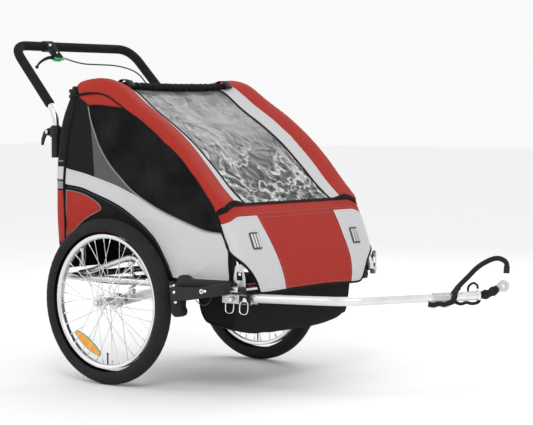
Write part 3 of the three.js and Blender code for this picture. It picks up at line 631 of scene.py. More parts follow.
def refine(node, surface, bevel=0.6):
    """A smooth, edge-rounded copy of a CAD node that stands for it."""
    source = frame["nodes"][node]
    mesh = source.data.copy()
    work = bmesh.new()
    work.from_mesh(mesh)
    bmesh.ops.remove_doubles(work, verts=work.verts, dist=1e-5)
    bmesh.ops.dissolve_limit(work, angle_limit=math.radians(1.5), verts=work.verts, edges=work.edges)
    bmesh.ops.recalc_face_normals(work, faces=work.faces)
    work.to_mesh(mesh)
    work.free()
    mesh.materials.clear()
    mesh.materials.append(SURFACES[surface])
    piece = bpy.data.objects.new(f"{node}_fine", mesh)
    bpy.context.scene.collection.objects.link(piece)
    finish_mesh(piece, bevel, 35)
    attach(piece, BODY_OF[node])
    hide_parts(node)
    return piece


BODY_OF = {node: body for body, nodes in frame["record"]["behaviour"]["bodies"].items() for node in nodes}

# ---- camera, light and floor ----
CAMERA_PLACE = (3740, -4256, 821)
CAMERA_AZIMUTH = 38.7477
CAMERA_ELEVATION = 3.2277
CAMERA_LENS = 121.576


def add_camera():
    data = bpy.data.cameras.new("camera")
    data.sensor_width = 36
    data.lens = CAMERA_LENS
    data.clip_start = 0.1
    data.clip_end = 60
    camera = bpy.data.objects.new("camera", data)
    camera.location = at(*CAMERA_PLACE)
    camera.rotation_euler = (math.radians(90 - CAMERA_ELEVATION), 0, math.radians(CAMERA_AZIMUTH))
    bpy.context.scene.collection.objects.link(camera)
    bpy.context.scene.camera = camera


def area_light(name, place_mm, target_mm, size, power):
    data = bpy.data.lights.new(name, "AREA")
    data.shape = "DISK"
    data.size = size
    data.energy = power
    lamp = bpy.data.objects.new(name, data)
    lamp.location = at(*place_mm)
    aim = at(*target_mm) - lamp.location
    lamp.rotation_euler = aim.to_track_quat("-Z", "Y").to_euler()
    bpy.context.scene.collection.objects.link(lamp)


def add_studio():
    world = bpy.data.worlds.new("studio")
    world.use_nodes = True
    world.node_tree.nodes["Background"].inputs["Color"].default_value = (1, 1, 1, 1)
    world.node_tree.nodes["Background"].inputs["Strength"].default_value = 0.95
    bpy.context.scene.world = world
    middle = (300, 0, 450)
    area_light("key", (2600, -3200, 3600), middle, 1.3, 58)
    area_light("fill", (-2600, -2600, 2200), middle, 2.6, 12)
    area_light("rim", (-600, 3200, 3000), middle, 2.4, 30)
    floor = bpy.data.meshes.new("floor")
    reach = 30
    floor.from_pydata([(-reach, -reach, 0), (reach, -reach, 0), (reach, reach, 0), (-reach, reach, 0)], [],
                      [(0, 1, 2, 3)])
    material, tree, principled = shader("floor", (0.93, 0.93, 0.93), 0.7)
    grain = ramp(tree, noise_texture(tree, coordinates(tree), 3), [(0.2, (0.92,) * 3), (0.8, (0.94,) * 3)])
    tree.links.new(grain, principled.inputs["Base Color"])
    floor.materials.append(material)
    ground = bpy.data.objects.new("floor", floor)
    bpy.context.scene.collection.objects.link(ground)


add_camera()
add_studio()


# ---- wheels ----
WHEEL_CENTRE = (0, -WHEEL_PLANE, WHEEL_RADIUS)


def tyre():
    """A round tyre with a block tread cut into its crown."""
    crown = WHEEL_RADIUS - TYRE_SECTION
    rows = []
    across = 26
    for i, angle in enumerate(turns(252)):
        row = []
        for j in range(across):
            around = math.pi * (-0.74 + 1.48 * j / (across - 1))
            shoulder = abs(around) / math.pi
            groove = 0.0
            if shoulder < 0.12:
                groove = 1.0 if 0.035 < shoulder < 0.075 else 0.0
            elif shoulder < 0.42:
                groove = 1.0 if (i + int(shoulder * 30)) % 4 == 0 else 0.0
            radius = TYRE_SECTION - 1.5 * groove
            reach = crown + radius * math.cos(around)
            row.append((reach * math.cos(angle), -WHEEL_PLANE + radius * math.sin(around),
                        WHEEL_RADIUS + reach * math.sin(angle)))
        for j in range(9):
            around = math.pi * (0.74 - 1.48 * j / 8)
            reach = crown + (TYRE_SECTION - 3.5) * math.cos(around)
            row.append((reach * math.cos(angle), -WHEEL_PLANE + (TYRE_SECTION - 3.5) * math.sin(around),
                        WHEEL_RADIUS + reach * math.sin(angle)))
        rows.append(row)
    return grid(rows + rows[:1], closed_across=True)


def rim():
    half = 12
    profile = [
        (RIM_OUTER, half), (RIM_OUTER - 1.5, half - 1.5), (RIM_OUTER - 5, half - 2.5),
        (RIM_OUTER - 5, 2.5 - half), (RIM_OUTER - 1.5, 1.5 - half), (RIM_OUTER, -half),
        (RIM_OUTER - 2, -half - 0.6), (RIM_INNER + 5, 1 - half), (RIM_INNER + 1.2, 4 - half), (RIM_INNER, -4),
        (RIM_INNER - 0.4, 0), (RIM_INNER, 4), (RIM_INNER + 1.2, half - 4), (RIM_INNER + 5, half - 1),
        (RIM_OUTER - 2, half + 0.6),
    ]
    return lathe(profile, WHEEL_CENTRE, sides=96)


def hub():
    out = -FLANGE_OFFSET
    flange = FLANGE_RADIUS
    shell = lathe([
        (6.6, out - 14), (9, out - 14), (11.5, out - 12), (12.5, out - 5), (13.5, out - 3),
        (flange - 1, out - 2.2), (flange, out), (flange - 1, out + 2.2), (15, out + 3.5), (12.6, out + 9),
        (11.8, -8), (11.8, 8), (12.6, -out - 9), (15, -out - 3.5), (flange - 1, -out - 2.2), (flange, -out),
        (flange, -out + 4), (21.5, -out + 7), (21, -out + 23), (6.6, -out + 24),
    ], WHEEL_CENTRE, sides=40)
    nut = join([
        tube([(0, out - 15 - WHEEL_PLANE, WHEEL_RADIUS), (0, out - 21 - WHEEL_PLANE, WHEEL_RADIUS)], 8.6, 6),
        lathe([(6.2, out - 21), (5.6, out - 23), (0.01, out - 23.4), (0.01, out - 15), (6.2, out - 15)],
              WHEEL_CENTRE, sides=20),
    ])
    return shell, nut


def spokes():
    made = []
    lean = 0.9
    per_side = SPOKE_COUNT / 2
    for i in range(SPOKE_COUNT):
        side = -1 if i % 2 == 0 else 1
        odd = (i // 2) % 2
        rim_angle = (i + 0.5) / SPOKE_COUNT * 2 * math.pi
        hub_angle = rim_angle + (-lean if odd else lean) + math.pi / per_side / 2
        hub_y = -WHEEL_PLANE + side * (FLANGE_OFFSET + (-1.9 if odd else 1.9))
        start = Vector(((FLANGE_RADIUS - 3) * math.cos(hub_angle), hub_y,
                        WHEEL_RADIUS + (FLANGE_RADIUS - 3) * math.sin(hub_angle)))
        end = Vector(((RIM_INNER + 1) * math.cos(rim_angle), -WHEEL_PLANE + side * 2.5,
                      WHEEL_RADIUS + (RIM_INNER + 1) * math.sin(rim_angle)))
        along = (end - start).normalized()
        made += [bar(start, end, 1.15, 6), bar(end - along * 13, end, 2.1, 8)]
    return join(made)


REFLECTOR_ANGLE = math.radians(238)


def lens_plate(length, width, thickness, y):
    """A straight reflector lens across the spokes, narrower towards its two ends."""
    radius = 156
    out = Vector((math.cos(REFLECTOR_ANGLE), math.sin(REFLECTOR_ANGLE)))
    side = Vector((-out.y, out.x))
    upper, lower = [], []
    for i in range(21):
        t = i / 10 - 1
        reach = width / 2 * (1 - 0.6 * abs(t) ** 2.2)
        middle = out * radius + side * (length / 2 * t)
        upper.append((middle.x + out.x * reach, WHEEL_RADIUS + middle.y + out.y * reach))
        lower.append((middle.x - out.x * reach, WHEEL_RADIUS + middle.y - out.y * reach))
    return plate(upper + list(reversed(lower)), y - thickness / 2, y + thickness / 2)


def build_wheels():
    both(tyre(), "tyre_tread", "tyre", "wheel_", ["tyre_"])
    both(rim(), "rim_fine", "silver", "wheel_", ["rim_"])
    shell, nut = hub()
    both(spokes(), "spokes", "chrome", "wheel_", ["hub_spokes_"], slot="chrome")
    both(shell, "hub_shell", "silver", "wheel_", slot="chrome")
    both(nut, "hub_nut", "chrome", "wheel_", bevel=0.5, slot="chrome")
    y = -WHEEL_PLANE
    both(lens_plate(116, 27, 5, y), "reflector_lens", "amber", "wheel_", ["wheel_reflector_"], bevel=1)
    both(lens_plate(121, 31, 4, y), "reflector_rim", "teal", "wheel_", bevel=0.6)
    ribs = [lens_plate(104 - 8 * k, 20 - 6 * k, 5.6 + 0.6 * k, y) for k in range(3)]
    both(join(ribs), "reflector_ribs", "amber", "wheel_", bevel=0.4)
    valve = [(0, y, WHEEL_RADIUS - RIM_INNER + 1), (0, y, WHEEL_RADIUS - RIM_INNER + 30)]
    both(join([tube(valve, 2.4, 10), bar(valve[1], (0, y, valve[1][2] + 4), 3.2, 10)]), "valve",
         "black_plastic", "wheel_")


# ---- chassis ----
GUARD_BEAM_REAR = [(284, 314), (281, 310), (281, 278), (284, 274), (296, 272), (344, 278), (386, 286)]
GUARD_BEAM_FRONT = {
    "right": [(440, 294), (486, 302), (488, 306), (487, 332), (484, 336), (447, 331), (418, 324)],
    "left": [(420, 291), (424, 294), (424, 322), (421, 325)],
}
GUARD_LIP_REAR = [
    (386, 300), (287, 306), (286, 324), (287, 333), (290, 340), (296, 345), (306, 348), (316, 348),
    (326, 345), (333, 340), (346, 338),
]
GUARD_LIP_FRONT = {"right": [(462, 340), (480, 339), (480, 312)],
                   "left": [(421, 339), (424, 336), (424, 306)]}

SPRING_X, SPRING_Y = 32, -285
COIL_RADIUS = 9.6


def build_chassis():
    for node in ("side_rail_", "trailing_arm_", "corner_bracket_"):
        for tag in ("right", "left"):
            refine(node + tag, "silver" if node == "side_rail_" else "steel")
    for node in ("rear_crossbar", "pivot_crossbar", "front_crossbar", "rear_top_crossbar"):
        refine(node, "silver")
    hoop_line = [(-186, 320), (-140, 329), (25, 381), (56, 377), (118, 316)]
    hoop = rounded([(x, SPRING_Y, z) for x, z in hoop_line], 24, 6)
    both(tube(hoop, 9.5, 18), "hoop", "silver", "chassis", ["suspension_hoop_"], angle=60)
    coil = []
    for i in range(127):
        angle = 2 * math.pi * i / 18
        coil.append((SPRING_X + COIL_RADIUS * math.cos(angle), SPRING_Y + COIL_RADIUS * math.sin(angle),
                     280 + 80 * i / 126))
    spring = join([tube(coil, 2, 8)] + [
        bar((SPRING_X, SPRING_Y, low), (SPRING_X, SPRING_Y, high), radius, sides)
        for low, high, radius, sides in ((272, 368, 4, 16), (272, 279.5, 12, 20), (360.5, 368, 12, 20))
    ])
    both(spring, "coil_spring", "chrome", "trailing_arm_", ["suspension_spring_"],
         bend=("chassis", (SPRING_X, 0, 276), (SPRING_X, 0, 364)), slot="chrome")
    foot = plate([(278, 286), (279, 262), (280, 237), (284, 231), (292, 226), (306, 227), (316, 231),
                  (322, 240), (320, 248), (315, 256), (316, 270), (318, 286)], -386, -358)
    for tag, sign in (("right", 1), ("left", -1)):
        beam = plate(GUARD_BEAM_REAR + GUARD_BEAM_FRONT[tag] + [(386, 318), (340, 316)], -392, -366)
        lip = plate(GUARD_LIP_REAR + GUARD_LIP_FRONT[tag], -369, -348)
        guard = join([beam, lip]).mirrored() if sign < 0 else join([beam, lip])
        place(guard, f"guard_beam_{tag}", "black_plastic", "chassis", [f"side_guard_{tag}"], bevel=4)
    both(foot, "guard_foot", "rubber", "chassis", bevel=3)
    bolts = []
    for x, z in ((297, 299), (414, 309)):
        bolts.append(lathe([(0.01, -1.8), (3.4, -1.6), (4.6, -0.4), (4.6, 1.5), (0.01, 1.5)], (x, -392.4, z),
                           sides=16))
    for x, z in ((291, 318), (297, 270)):
        bolts.append(lathe([(0.01, -4), (5, -3.6), (6, -1), (6, 3), (0.01, 3)], (x, -384, z), axis="z",
                           sides=16))
    bolts.append(lathe([(3, -1.2), (7, -1.2), (7, 1), (3, 1)], (402, -392.6, 308), sides=24))
    both(join(bolts), "guard_bolts", "chrome", "chassis", slot="black_plastic")
    loop = smooth([(359, -368, 290), (364, -372, 280), (378, -374, 270), (397, -374, 267), (414, -372, 276),
                   (421, -368, 296)], 30)
    place(tube(loop, 1.4, 8), "guard_loop", "cable", "chassis")
    cap = lathe([(0.01, 5.5), (8, 5), (11.6, 3), (12.2, 0), (12.2, -14), (10.9, -14), (10.9, 0), (0.01, 0.4)],
                (470.2, -312, 312), axis="x", sides=28)
    both(cap, "rail_cap", "black_plastic", "chassis")
    heads = [tube([(x, -336.4, z), (x, -340.2, z)], 5.6, 6) for x, z in ((488, 330), (500, 358))]
    place(join(heads), "bracket_bolts_right", "chrome", "chassis", bevel=0.5)
    place(heads[0].mirrored(), "bracket_bolts_left", "chrome", "chassis", bevel=0.5)
    slot = block(487, 507, -337.3, -336.3, 341, 364)
    place(slot, "bracket_slot", "binding", "chassis", bevel=0.3, slot="steel")
    liner = filled([(446, 424), (464, 404), (474, 345), (470, 300), (446, 300)], 9,
                   lambda x, z: (x, -303 + 2 * rough(x / 30, z / 30, 5), z))
    both(liner, "front_liner", "black", "chassis", thickness=1.2, held="stretched")
    place(bar((464, -355, 316), (515, -355, 316), 8, 24), "socket_stub", "silver", "chassis", bevel=1,
          slot="steel")
    knob = lathe([(0.01, 21), (7, 20.6), (10, 18), (10.4, 10), (9, 7), (9, 0), (0.01, 0)], (513, -357, 316),
                 axis="x", sides=24)
    place(knob, "socket_knob", "black_plastic", "chassis")
    cheek_pad = block(503, 531, -347.4, -345.6, 276, 299)
    mouth = [block(531, 546, -349, -345.6, 272, 303), block(531, 546, -314.4, -311, 272, 303)]
    place(join([cheek_pad] + mouth), "socket_mouth", "black_plastic", "chassis", bevel=0.8)


# ---- hitch ----
HITCH_AXIS = (Vector(TOW_END) - Vector(TOW_BEND)).normalized()
HITCH_RIGHT = Vector((HITCH_AXIS.y, -HITCH_AXIS.x, 0)).normalized()
COUPLER_BLOCK, COUPLER_END, HOOK_PIN_AT = 68, 142, 108
STRAP_SIDE = Vector((0.74, -0.66, 0.1))  # the webbing's face looks out from the bicycle's side all along


def hitch(distance, up=0.0, right=0.0):
    return Vector(TOW_END) + HITCH_AXIS * distance + HITCH_RIGHT * right + Vector((0, 0, up))


def rubber_bulge(t):
    """The rubber joint's radius from its root to its end: two swellings over fine rings."""
    swell = [height * max(0, hump((t - start) / 0.26)) ** 0.5 for start, height in ((0.16, 3.0), (0.6, 2.6))]
    return 10.4 + swell[0] + swell[1] + 0.4 * math.sin(t * 150)


def hitch_lathe(profile, sides, tooth=0.0):
    """A profile of (distance, radius) turned about the hitch's axis, its ridges toothed all round."""
    rows = []
    for d, r in profile:
        ridge = tooth if r > 13 else 0.0
        row = []
        for j, t in enumerate(turns(sides)):
            out = HITCH_RIGHT * math.cos(t) + Vector((0, 0, 1)) * math.sin(t)
            row.append(hitch(d) + out * (r + ridge * (j % 2)))
        rows.append(row)
    return capped(rows)


def build_hitch():
    beam = tube(rounded([(548, TOW_Y, 292.5), TOW_BEND, TOW_END], 60, 12), 12.5, 28)
    place(beam, "tow_beam", "silver", "tow_bar", ["tow_bar"], angle=60)
    tongue = join([
        block(530, 566, TOW_Y - 8, TOW_Y + 8, 283.5, 301.5),
        bar((530, TOW_Y - 8, 292.5), (530, TOW_Y + 8, 292.5), 9, 24),
    ])
    place(tongue, "tow_tongue", "steel", "tow_bar", bevel=0.4)
    refine("tow_socket", "steel")
    knurl = []
    for k in range(26):
        a, b = COUPLER_BLOCK * (k + 0.08) / 26, COUPLER_BLOCK * (k + 0.92) / 26
        knurl += [(a, 12.6), (a + 0.5, 13.6), (b - 0.5, 13.6), (b, 12.6)]
    place(hitch_lathe(knurl, 48, tooth=0.5), "coupler_sleeve", "knurled", "tow_bar", ["tow_coupler"],
          angle=30)
    steps = [(67, 13.4), (68, 14.4), (78, 14.4), (79, 13.6), (84, 13.6), (85, 14.4), (126, 14.4), (127, 13.4),
             (131, 13.4), (132, 14.8), (141, 14.8), (142, 13.8)]
    place(hitch_lathe(steps, 32), "coupler_block", "chrome", "tow_bar", angle=30)
    hook = rounded([hitch(HOOK_PIN_AT, 8), hitch(HOOK_PIN_AT, 26), hitch(HOOK_PIN_AT + 16, 36),
                    hitch(HOOK_PIN_AT + 28, 28), hitch(HOOK_PIN_AT + 29, 18)], 10, 8)
    place(tube(hook, 3.3, 12), "hook_wire", "black_plastic", "hook_pin", ["hook_pin"], angle=60)
    chain = smooth([hitch(COUPLER_END + 0.6), hitch(COUPLER_END + 3), hitch(COUPLER_END + 9),
                    (1107, -3.5, 314), (1118, -2.5, 318), (1130, -2.5, 324.5), (1143, -2.5, 332)], 60)
    joint = tube(chain, 1, 28, scale=rubber_bulge)
    place(joint, "flex_rubber", "rubber", "tow_bar", ["flex_joint"], angle=60,
          bend=("flex_joint", hitch(COUPLER_END + 2), (1132, -2.5, 325)), slot="rubber")
    refine("axle_plate", "steel")
    for node in ("pivot_pin", "lock_pin"):
        refine(node, "chrome", bevel=0.3)
    strap_path = smooth([
        hitch(-12, -17, 7), hitch(4, -20, 8), hitch(20, -16.5, 8), hitch(34, -20, 8), hitch(48, -17, 9),
        hitch(58, -12, 15), hitch(62, 2, 19.5), (1060, -84, 329), (1071, -74, 347), (1083, -57, 366),
        (1098, -38, 389), (1115, -20, 405), (1135, -8, 415), (1152, -2, 415), (1167, 0, 407), (1171, 0, 394),
        (1170, -1, 378),
    ], 140)
    strap = sweep(strap_path, flat_section(14, 2.6), up=STRAP_SIDE)
    place(strap, "strap_webbing", "webbing", "tow_bar", ["safety_strap"], angle=50,
          bend=("flex_joint", hitch(100), (1150, -2, 400)))
    tail = smooth([hitch(-14, -17, 8), hitch(2, -20, 9), hitch(18, -16.5, 9), hitch(36, -20, 9),
                   hitch(52, -17, 9)], 60)
    place(sweep([p - Vector((0, 0, 8.4)) for p in tail], circle(1.1, 8)), "strap_edge", "light", "tow_bar",
          slot="webbing")
    lanyard = smooth([hitch(68, -16, 6), hitch(84, -21, 8), hitch(100, -18, 8), hitch(118, -22, 6),
                      hitch(136, -20, 2), hitch(143, -14, 0)], 60)
    place(sweep(lanyard, flat_section(9, 3), up=STRAP_SIDE), "pin_lanyard", "webbing", "tow_bar", angle=50)
    ring = [hitch(141 + 5 * math.cos(a), -14 + 6 * math.sin(a)) for a in turns(20)]
    place(tube(ring, 1.3, 8, closed=True), "lanyard_ring", "chrome", "tow_bar")
    buckle = [(1055, -91, 317), (1061, -84, 329), (1066, -79, 339)]
    place(sweep(buckle, flat_section(17, 6), up=STRAP_SIDE), "strap_clip", "black_plastic", "tow_bar",
          bevel=1)
    clip = [(1171, 0, 396), (1171, -1, 386), (1170, -1, 376)]
    place(sweep(clip, flat_section(17, 6), up=STRAP_SIDE), "strap_end_clip", "black_plastic", "flex_joint",
          bevel=1)


# ---- rear frame and push handle ----
HANDLE_CORNERS = [
    (HANDLE_X, -HANDLE_Y, 702), (HANDLE_X, -HANDLE_Y, 814, 36),
    (HANDLE_TOP[0], -HANDLE_TOP[1], HANDLE_TOP[2]), HANDLE_TOP, (HANDLE_X, HANDLE_Y, 814, 36),
    (HANDLE_X, HANDLE_Y, 702),
]
UPPER_CABLE = [
    (-484, -46, 992.7), (-483, -20, 986), (-475, 30, 977), (-463, 90, 975), (-450, 150, 973),
    (-438, 205, 963), (-425, 242, 945), (-408, 259, 916), (-385, 264, 888), (-350, 266, 856),
    (-318, 268, 826), (-310, 268, 800), (-309, 268, 782),
]
LOWER_CABLE = [
    (-309, 262, 778), (-308, 252, 760), (-292, 238, 735), (-250, 236, 716), (-205, 238, 690),
    (-192, 240, 640), (-200, 240, 520), (-212, 240, 420), (-221, 238, 345), (-222, 238, 305),
    (-204, 238, 280), (-150, 240, 268), (-60, 256, 256), (-18, 268, 250),
]


HANDLE_BEND = 62
KNOB_Y, KNOB_Z = -283, 874
CABLE_RADIUS = 2.4


def grip_radius(t):
    """The foam sleeve's radius along its length, with pinched ends."""
    return 15 - 1.6 * (1 if t < 0.004 or t > 0.996 else 0) + 0.22 * rough(t * 60, 0, 0)


def build_handle():
    for tag in ("right", "left"):
        refine(f"rear_upright_{tag}", "silver")
        refine(f"corner_knob_{tag}", "black_plastic", bevel=1.6)
        refine(f"handle_socket_{tag}", "black_plastic", bevel=0.8)
        refine(f"clamp_lever_{tag}", "black_plastic", bevel=1.0)
    knob_bolt = lathe([(0.01, -1.5), (4, -1), (5, 1), (5, 4), (0.01, 4)], (-211.6, KNOB_Y, KNOB_Z),
                      axis="x", sides=20)
    both(knob_bolt, "knob_bolt", "steel", "corner_knob_", slot="black_plastic")
    lobes = []
    for k in range(6):
        turn = math.pi * (k / 3 + 1 / 6)
        y, z = KNOB_Y + 17 * math.cos(turn), KNOB_Z + 17 * math.sin(turn)
        lobes.append(bar((-213, y, z), (-196, y, z), 6.2, 16))
    both(join(lobes), "knob_lobes", "black_plastic", "corner_knob_", bevel=1.2)
    place(tube(rounded(HANDLE_CORNERS, HANDLE_BEND, 12), 10.5, 26), "push_bar", "silver", "push_handle",
          ["handle_tube"], angle=60)
    bend, corner = Vector(HANDLE_CORNERS[1][:3]), Vector(HANDLE_CORNERS[2][:3])
    arm = corner.lerp(bend, 0.88)
    ends = [arm, corner]
    ends += [Vector((p.x, -p.y, p.z)) for p in (corner, arm)]
    grip_path = spaced(rounded(ends, HANDLE_BEND, 14), 220)
    place(tube(grip_path, 1, 28, scale=grip_radius), "foam_grip", "foam", "push_handle", ["handle_foam"],
          angle=60)
    x, z = HANDLE_TOP[0], HANDLE_TOP[2]
    body = slab([(-142, 1036), (-136, 1047), (-120, 1047), (-90, 1013), (-73, 998), (-86, 989), (-108, 997),
                 (-130, 1018)], x + 8, x + 28)
    clamp = join([bar((x, -140, z), (x, -116, z), 18, 32), body])
    place(clamp, "brake_mount", "black_plastic", "push_handle", ["brake_lever_mount"], bevel=2.4)
    bolts = join([bar((x + 28, -137, 1034), (x + 33, -137, 1034), 4.6, 16),
                  bar((x + 28, -106, 1010), (x + 31.5, -106, 1010), 3.4, 16)])
    place(bolts, "brake_bolts", "chrome", "push_handle", bevel=0.5)
    adjuster = join([
        tube([(x + 19, -108, 991), (x + 21, -84, 989)], 8.4, 14),
        tube([(x + 21, -84, 989), (x + 18, -64, 992)], 5.4, 12),
        tube([(x + 18, -64, 992), (x + 10, -47, 992.6)], 3.4, 12),
    ])
    place(adjuster, "brake_adjuster", "green", "push_handle", bevel=0.8)
    lever = smooth([(x + 16, -106, 993), (x + 14, -124, 994), (x + 12, -146, 987), (x + 10, -164, 976),
                    (x + 9, -173, 966)], 40)
    finger = sweep(lever, flat_section(11, 5), up=lambda p: (1, 0, 0), scale=lambda t: 1.1 - 0.45 * t)
    ball = lathe([(0.01, -6)] + [(6 * math.sin(a), -6 * math.cos(a)) for a in (0.4, 0.9, 1.5708, 2.2, 2.7)]
                 + [(0.01, 6)], (x + 9, -175, 963), axis="x", sides=20)
    place(join([finger, ball]), "brake_finger", "black_plastic", BODY_OF["brake_lever"], ["brake_lever"],
          angle=50)
    place(tube(smooth(UPPER_CABLE, 90), CABLE_RADIUS, 12), "brake_cable_high", "cable", "handle_sockets",
          ["brake_cable_upper"], angle=60, bend=("push_handle", (-309, 0, 784), (-330, 0, 840)))
    place(tube(smooth(LOWER_CABLE, 140), CABLE_RADIUS, 12), "brake_cable_low", "cable", "chassis",
          ["brake_cable_lower"], angle=60, bend=("rear_frame", (-222, 0, 300), (-200, 0, 430)))
    rings = []
    for height in (746, 766):
        rings.append(lathe([(18.6, -2), (19.6, -1.4), (19.6, 1.4), (18.6, 2), (17.5, 0)],
                           (HANDLE_X, -HANDLE_Y, height), axis="z", sides=32))
    both(join(rings), "socket_bands", "black_plastic", "handle_sockets")
    lever_nut = lathe([(0.01, -3), (5.5, -2.6), (6, 0), (6, 4), (0.01, 4)],
                      (HANDLE_X - 25, -HANDLE_Y - 15, 756), sides=20)
    both(lever_nut, "lever_nut", "chrome", "clamp_lever_", slot="black_plastic")
    end_plug = lathe([(0.01, -3), (9, -2.6), (10.4, 0), (10.4, 3), (0.01, 3)], (HANDLE_X, -HANDLE_Y, 701),
                     axis="z", sides=24)
    both(end_plug, "handle_plug", "black_plastic", "push_handle")


# ---- cabin fabric ----
BAND_EDGE = [
    (-176, 862), (-131, 871), (-95, 875), (-54, 875), (-13, 864), (33, 839), (67, 822), (135, 785),
    (212, 728), (267, 688), (321, 636), (374, 573), (398, 541),
]
NET_EDGE = [
    (-104, 835), (-93, 793), (-76, 755), (-55, 712), (-15, 662), (31, 621), (77, 585), (128, 557), (200, 526),
    (266, 504), (331, 484), (374, 474), (428, 470),
]
WEDGE_LOW = [(-104, 837), (-60, 838), (-15, 835), (44, 829)]
GORE_EDGE = [(-104, 835), (-93, 763), (-86, 699), (-80, 622)]
STRIP_TOP = [(-206, 648), (-190, 644), (-133, 634), (-80, 622), (-27, 609), (20, 596), (65, 580), (100, 568),
             (128, 557)]
STRIP_LOW = [
    (-208, 597), (-190, 594), (-133, 587), (-74, 570), (-15, 552), (42, 529), (99, 497), (144, 466),
    (172, 441), (201, 400), (225, 362), (240, 334),
]
RED_CORNER = [(-200, 579), (-133, 570), (-74, 548), (-50, 528), (-64, 517), (-116, 494), (-179, 450),
              (-199, 440)]
SIDE_FRONT = [(398, 541), (412, 508), (428, 470), (444, 440), (452, 418), (453, 376), (456, 344), (452, 334)]
CREASES = [
    ((300, 334), (392, 392), 9, 4.5), ((318, 334), (372, 352), 7, 3.5), ((292, 340), (340, 420), 14, 2.5),
    ((-180, 636), (-60, 596), 12, 1.6), ((150, 505), (300, 470), 16, 2.0), ((250, 350), (330, 460), 22, 2.2),
    ((-150, 540), (-90, 515), 9, 1.4),
]
WINDOW_HALF = 206
BAND_INNER = 252
BAND_DROP = 0.4  # how far the roof has dipped at the band's inner edge, as a part of its depth
CROWN_Y = 300
CLOTH_STEP = 9  # size of the triangles that fill a cut of cloth


def along(line, count):
    return [Vector(p) for p in line_2d(line, count)]


def drawn(line, count, backwards=False):
    """A smooth line's points as plain pairs."""
    pairs = [tuple(p) for p in along(line, count)]
    return pairs[::-1] if backwards else pairs


def segment_ridge(x, z, a, b, width, height):
    """A soft fold's height at a point, along the segment from a to b."""
    p, a, b = Vector((x, z)), Vector(a), Vector(b)
    t = clamped((p - a).dot(b - a) / (b - a).length_squared)
    near = (p - a.lerp(b, t)).length / width
    return height * math.exp(-near * near) * math.sin(math.pi * (0.15 + 0.85 * (1 - t)) * 0.5)


def side_reach(x, z):
    """How far the side fabric stands from the middle plane."""
    bulge = 2.5 * hump((x + 215) / 680) * hump((z - 330) / 560)
    folds = sum(segment_ridge(x, z, *crease) for crease in CREASES)
    return SIDE_Y + bulge + folds + 1.1 * rough(x / 42, z / 42, 3.7)


def net_reach(x, z):
    """The netting lies slacker than the cloth round it, in long upright folds."""
    rim_distance = min(1.0, edge_distance((x, z), NET_OUTLINE) / 40)
    folds = 2.6 * rough(x / 26, z / 190, 9.1) + 1.2 * rough(x / 11, z / 90, 2.3)
    return side_reach(x, z) - 1 - rim_distance * (7 - folds)


NET_OUTLINE = drawn(NET_EDGE, 26) + [(412, 508)] + drawn(BAND_EDGE[6:], 16, backwards=True) \
    + drawn(WEDGE_LOW, 6, backwards=True)[:-1]

BENT = ("roof_frame", (91.2, 0, 245), (252.5, 0, 678))  # the roof frame and two points of its fold, given to the side fabric


def side_cloth(name, outline, surface, lift=0.0, reach=None, replaces=(), step=CLOTH_STEP):
    """A piece of the side fabric, filled from its outline as seen from the side."""
    reach = reach or side_reach
    shape = filled(outline, step, lambda x, z: (x, -(reach(x, z) + lift), z))
    return both(shape, name, surface, "chassis", replaces, bend=BENT, thickness=1.0, angle=80,
                held="stretched")


def side_line(points, count, lift):
    """A line on the side fabric, lifted off it."""
    return [(p.x, -(side_reach(p.x, p.y) + lift), p.y) for p in along(points, count)]


def side_piping(name, points, radius, surface, count=70, lift=1.2):
    both(tube(side_line(points, count, lift), radius, 10), name, surface, "chassis", bend=BENT, angle=80)


STITCH_PITCH, STITCH_LENGTH, STITCH_RADIUS = 6.0, 3.6, 0.45


def stitches(chain):
    """Short thread runs along a chain of points."""
    chain = [Vector(p) for p in chain]
    total = sum((b - a).length for a, b in zip(chain, chain[1:]))
    even = spaced(chain, max(4, int(total / STITCH_PITCH) * 2))
    made = []
    for a, b in zip(even[::2], even[1::2]):
        part = min(1.0, STITCH_LENGTH / max(0.1, (b - a).length))
        made.append(tube([a, a + (b - a) * part], STITCH_RADIUS, 5))
    return join(made)


ARCH_FIRST, ARCH_LAST = 135, 21  # degrees about a point 40 mm behind the axle
ARCH_RADIUS = 235


def arch(count):
    """The side fabric's lower edge, hidden behind the wheel."""
    made = []
    for i in range(count):
        angle = math.radians(ARCH_FIRST + (ARCH_LAST - ARCH_FIRST) * i / (count - 1))
        made.append((ARCH_RADIUS * math.cos(angle) - 40, WHEEL_RADIUS + ARCH_RADIUS * math.sin(angle)))
    return made


